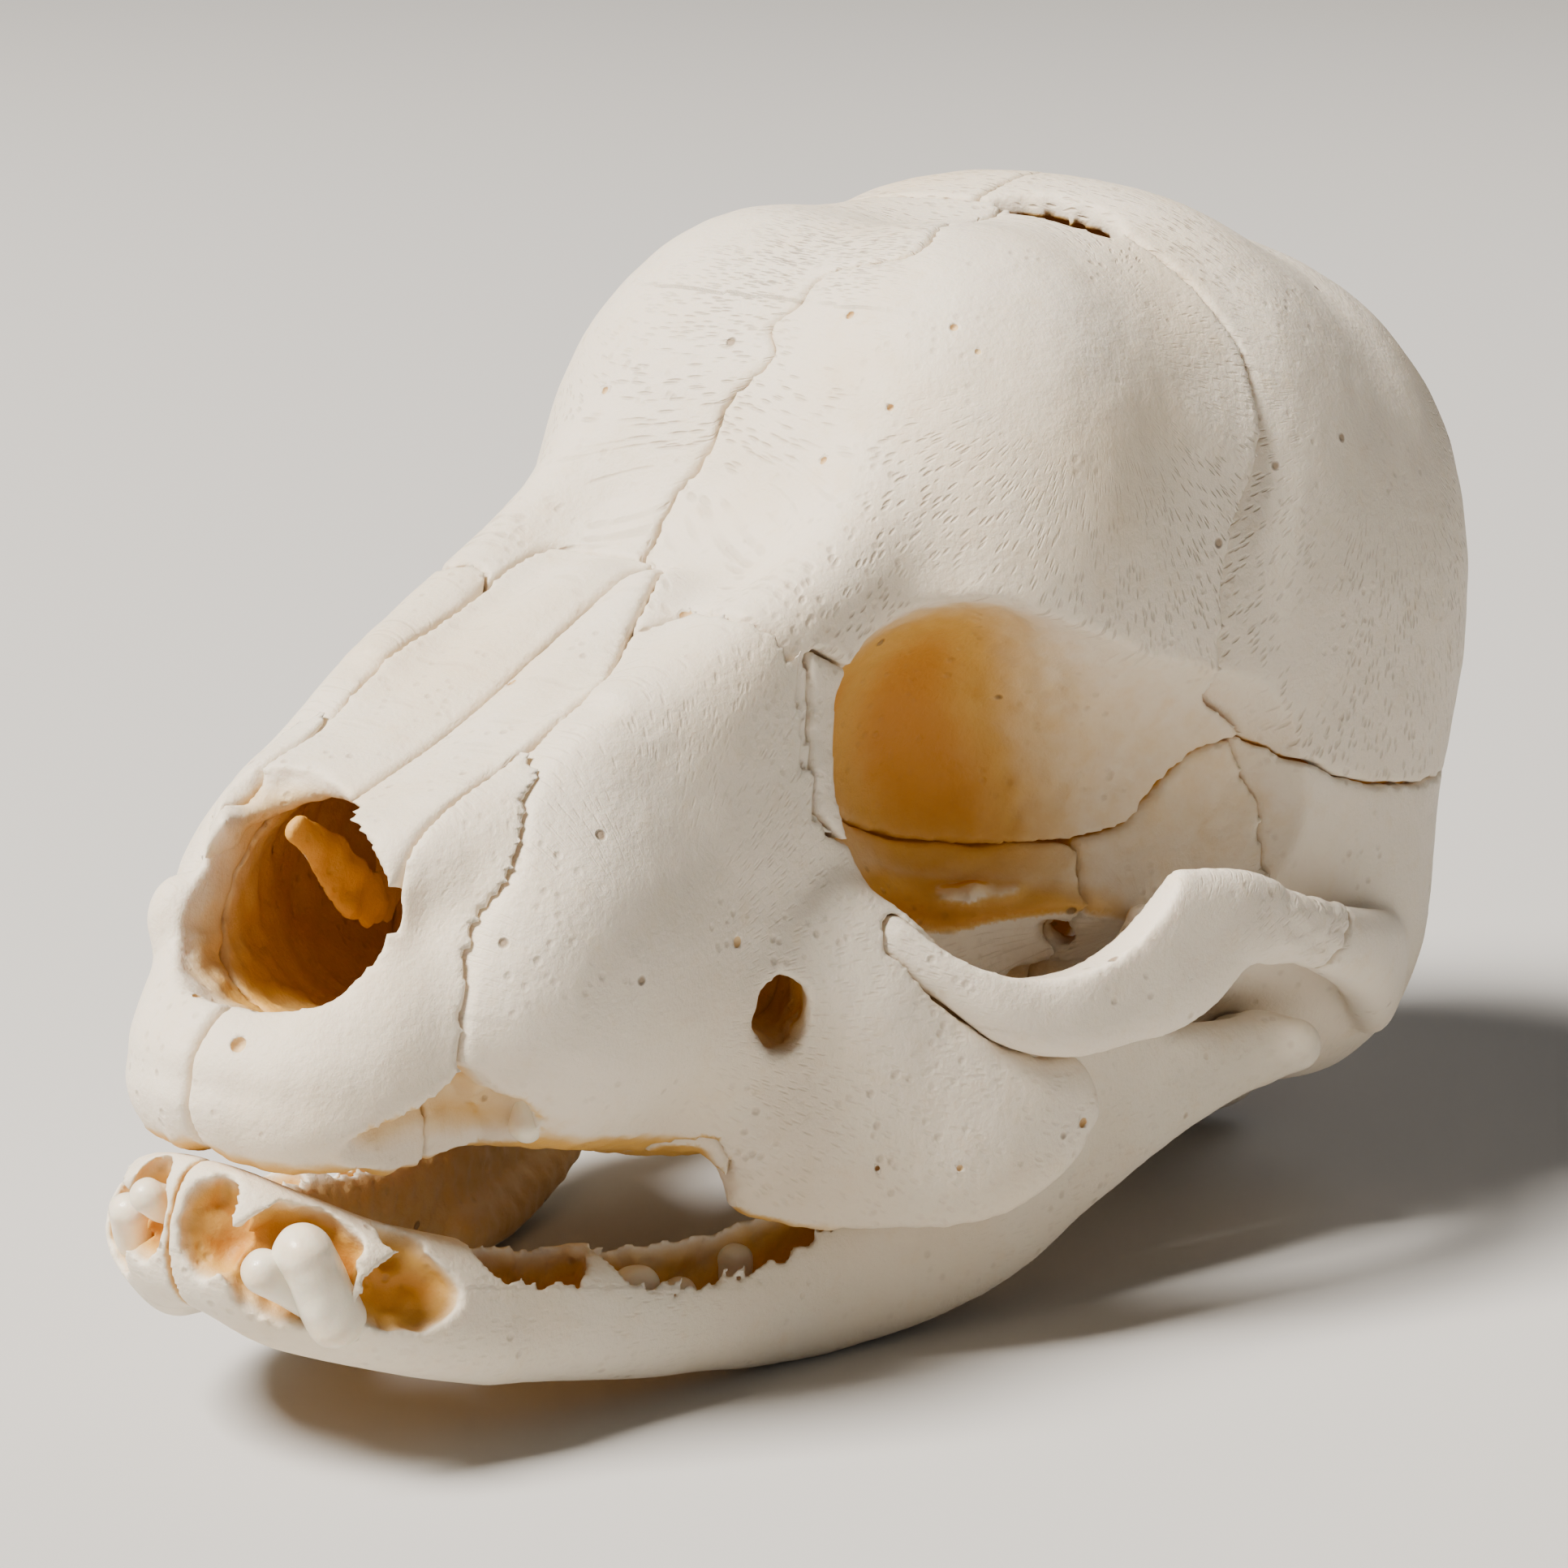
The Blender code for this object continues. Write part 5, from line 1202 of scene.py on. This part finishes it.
@dataclass(frozen=True)
class BoneFinish:
    """Dry bone: its ivory and tan stains outside, the painted shade and glow in its hollows, and how strongly
    its grain shows.
    """

    name: str
    ivory: Colour = (0.82, 0.73, 0.60, 1.0)
    # Tan is the bone's own stain colour, and also painted shade at the rims of the hollows; amber and deep
    # are painted glow and shade further in.
    tan: Colour = (0.72, 0.53, 0.29, 1.0)
    amber: Colour = (0.62, 0.34, 0.07, 1.0)
    deep: Colour = (0.52, 0.21, 0.018, 1.0)
    strokes: float = 0.4
    pits: float = 1.0
    # Painted glow: the strength of the light that the hollows give off, for light shining through thin bone.
    glow: float = 0.05

    def material(self, relief: bpy.types.NodeTree, tone: bpy.types.NodeTree) -> bpy.types.Material:
        """Builds the material.

        Args:
            relief: the group that gives the grain.
            tone: the group that gives the colours.

        Returns:
            The material.
        """
        made = bpy.data.materials.new(self.name)
        made.use_nodes = True
        wire = Wiring(made.node_tree)
        surface = made.node_tree.nodes["Principled BSDF"]
        place = wire.add("TexCoord").outputs["Object"]
        fan = wire.add("Attribute", attribute_name="fan").outputs["Vector"]
        hollow = wire.add("Attribute", attribute_name="hollow").outputs["Fac"]
        grain = wire.add("Group", node_tree=relief)
        colours = wire.add("Group", node_tree=tone)
        links = made.node_tree.links
        links.new(place, grain.inputs["Place"])
        links.new(fan, grain.inputs["Fan"])
        outside = wire.math("SUBTRACT", 1.0, wire.step(hollow, 0.02, 0.12))
        links.new(wire.math("MULTIPLY", outside, self.strokes), grain.inputs["Strokes"])
        grain.inputs["Pits"].default_value = self.pits
        links.new(place, colours.inputs["Place"])
        links.new(hollow, colours.inputs["Hollow"])
        links.new(grain.outputs["Pores"], colours.inputs["Pores"])
        for label in ("Ivory", "Tan", "Amber", "Deep"):
            colours.inputs[label].default_value = getattr(self, label.lower())
        bump = wire.add("Bump", {"Height": grain.outputs["Height"], "Strength": 1.0, "Distance": MM})
        links.new(colours.outputs["Colour"], surface.inputs["Base Color"])
        links.new(colours.outputs["Roughness"], surface.inputs["Roughness"])
        links.new(colours.outputs["Glow"], surface.inputs["Emission Color"])
        links.new(bump.outputs["Normal"], surface.inputs["Normal"])
        # Painted glow: the hollows give off a little light in their deep colour, for light that shines
        # through thin bone.
        surface.inputs["Emission Strength"].default_value = self.glow
        surface.inputs["Subsurface Weight"].default_value = 0.12
        surface.inputs["Subsurface Scale"].default_value = 0.8 * MM
        surface.inputs["Subsurface Radius"].default_value = (1.0, 0.55, 0.25)
        surface.inputs["Specular IOR Level"].default_value = 0.35
        return made


@dataclass(frozen=True)
class EnamelFinish:
    """The soft cream enamel of a milk tooth that never cut."""

    name: str = "milk_enamel"
    cream: Colour = (0.86, 0.78, 0.62, 1.0)
    shade: Colour = (0.78, 0.62, 0.40, 1.0)

    def material(self) -> bpy.types.Material:
        """Builds the material."""
        made = bpy.data.materials.new(self.name)
        made.use_nodes = True
        wire = Wiring(made.node_tree)
        surface = made.node_tree.nodes["Principled BSDF"]
        place = wire.add("TexCoord").outputs["Object"]
        cloud = wire.noise(place, 700.0, 3.0)
        colour = wire.mix(wire.math("MULTIPLY", wire.step(cloud, 0.4, 0.75), 0.6), self.cream, self.shade)
        grain = wire.noise(place, 4200.0, 3.0)
        bump = wire.add("Bump", {"Height": grain, "Strength": 1.0, "Distance": 0.02 * MM})
        made.node_tree.links.new(colour, surface.inputs["Base Color"])
        made.node_tree.links.new(bump.outputs["Normal"], surface.inputs["Normal"])
        surface.inputs["Roughness"].default_value = 0.38
        surface.inputs["Coat Weight"].default_value = 0.15
        surface.inputs["Subsurface Weight"].default_value = 0.2
        surface.inputs["Subsurface Scale"].default_value = 0.8 * MM
        return made


@dataclass
class Studio:
    """A plain pale floor, soft lamps and the camera."""

    camera_place: Point = (0.12502, -0.14985, 0.06635)
    camera_azimuth: float = 39.94
    camera_height: float = 13.46
    lens: float = 111.62
    floor_colour: Colour = (0.56, 0.55, 0.535, 1.0)

    def build(self) -> None:
        """Sets out the floor, the lamps, the sky and the camera."""
        self.lay_floor()
        self.hang("key", (-0.44, -0.84, 1.26), 0.55, 82.0, (1.0, 0.94, 0.86))
        self.hang("fill", (0.46, -0.20, 0.24), 0.40, 0.2, (1.0, 0.94, 0.84))
        self.hang("back", (-0.05, 0.45, 0.40), 0.35, 0.4, (0.98, 0.98, 1.0))
        world = bpy.context.scene.world or bpy.data.worlds.new("studio")
        bpy.context.scene.world = world
        world.use_nodes = True
        sky = world.node_tree.nodes["Background"]
        sky.inputs["Color"].default_value = (0.82, 0.83, 0.85, 1.0)
        sky.inputs["Strength"].default_value = 0.04
        lens = bpy.data.cameras.new("camera")
        lens.sensor_width = 36.0
        lens.lens = self.lens
        lens.clip_start = 0.01
        lens.clip_end = 20.0
        camera = bpy.data.objects.new("camera", lens)
        camera.location = self.camera_place
        camera.rotation_euler = Euler((math.radians(90.0 - self.camera_height), 0.0,
                                       math.radians(self.camera_azimuth)))
        bpy.context.scene.collection.objects.link(camera)
        bpy.context.scene.camera = camera

    def lay_floor(self) -> None:
        """Lays the floor that the skull stands on."""
        shape = bmesh.new()
        bmesh.ops.create_grid(shape, x_segments=1, y_segments=1, size=3.0)
        mesh = bpy.data.meshes.new("floor")
        shape.to_mesh(mesh)
        shape.free()
        floor = bpy.data.objects.new("floor", mesh)
        bpy.context.scene.collection.objects.link(floor)
        paper = bpy.data.materials.new("pale_paper")
        paper.use_nodes = True
        surface = paper.node_tree.nodes["Principled BSDF"]
        surface.inputs["Base Color"].default_value = self.floor_colour
        surface.inputs["Roughness"].default_value = 0.8
        mesh.materials.append(paper)
        floor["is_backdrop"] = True

    def hang(self, name: str, place: Point, size: float, power: float, colour: Point) -> None:
        """Hangs one soft square lamp that faces the skull.

        Args:
            name: the lamp's name.
            place: where it hangs.
            size: the length of its side.
            power: its power in watts.
            colour: the colour of its light.
        """
        lamp = bpy.data.lights.new(name, "AREA")
        lamp.size = size
        lamp.energy = power
        lamp.color = colour
        held = bpy.data.objects.new(name, lamp)
        held.location = place
        held.rotation_euler = (Vector((0.0, 0.0, 0.02)) - Vector(place)).to_track_quat("-Z", "Y").to_euler()
        bpy.context.scene.collection.objects.link(held)


def hand_in(obj: bpy.types.Object, finish: bpy.types.Material, nodes: Sequence[str]) -> None:
    """Lays a finished piece in its resting place, dresses it and hides the solids that it stands for.

    Args:
        obj: the piece, still in millimetres.
        finish: its material.
        nodes: the solids that it stands for.
    """
    obj.data.transform(REST)
    for collection in list(obj.users_collection):
        collection.objects.unlink(obj)
    bpy.context.scene.collection.objects.link(obj)
    obj.data.materials.clear()
    obj.data.materials.append(finish)
    obj.data.shade_smooth()
    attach(obj, "root")
    if nodes:
        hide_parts(*nodes)
    log.info("%s: %d faces", obj.name, len(obj.data.polygons))


def main() -> None:
    """Builds the skull, dresses it and sets it in the studio."""
    logging.basicConfig(level=logging.INFO, format="%(message)s")
    bench = Bench()
    cranium = Cranium(bench)
    cranium.build()
    jaws = [LowerJaw(bench, side) for side in Side]
    for jaw in jaws:
        jaw.build()
        for bone in ("maxilla_", "temporal_", "incisive_"):
            bench.join(cranium.bones[bone + jaw.side.label], [jaw.room()], "DIFFERENCE")
        jaw.finish()
    cranium.finish()
    germs = [ToothGerms(bench, side) for side in Side]
    nose, ears = InnerNose(bench), EarBullae(bench)
    for part in (*germs, nose, ears):
        part.build()

    relief, tone = relief_group(), tone_group()
    dry = BoneFinish("dry_bone").material(relief, tone)
    vault = BoneFinish("vault_bone", strokes=1.0, pits=0.7).material(relief, tone)
    # Painted shade: the lower jaw takes a slightly darker ivory than the skull, for the shade it lies in.
    jaw_bone = BoneFinish("jaw_bone", ivory=(0.79, 0.71, 0.58, 1.0), strokes=0.3).material(relief, tone)
    # Painted glow: the bones inside the nose take an amber ivory and a stronger glow, for light that shines
    # through them.
    deep_bone = BoneFinish("deep_bone", ivory=(0.72, 0.50, 0.22, 1.0), strokes=0.0, glow=0.16)
    deep = deep_bone.material(relief, tone)
    enamel = EnamelFinish().material()
    for name, bone in {**cranium.bones, **ears.bones}.items():
        finish = vault if name.startswith(("frontal", "parietal", "supraoccipital")) else dry
        hand_in(bone, finish, [name])
    for jaw in jaws:
        hand_in(jaw.bone, jaw_bone, ["mandible_" + jaw.side.label])
    for name, bone in nose.bones.items():
        hand_in(bone, deep, [name])
    for row in germs:
        for tooth in row.teeth:
            hand_in(tooth, enamel, [])
    bpy.data.collections.remove(bench.place)
    Studio().build()
    boxes = {"cad": CAD_BOX, "visual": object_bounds()}
    {key: [list(corner) for corner in box] for key, box in boxes.items()}


if __name__ == "__main__":
    main()
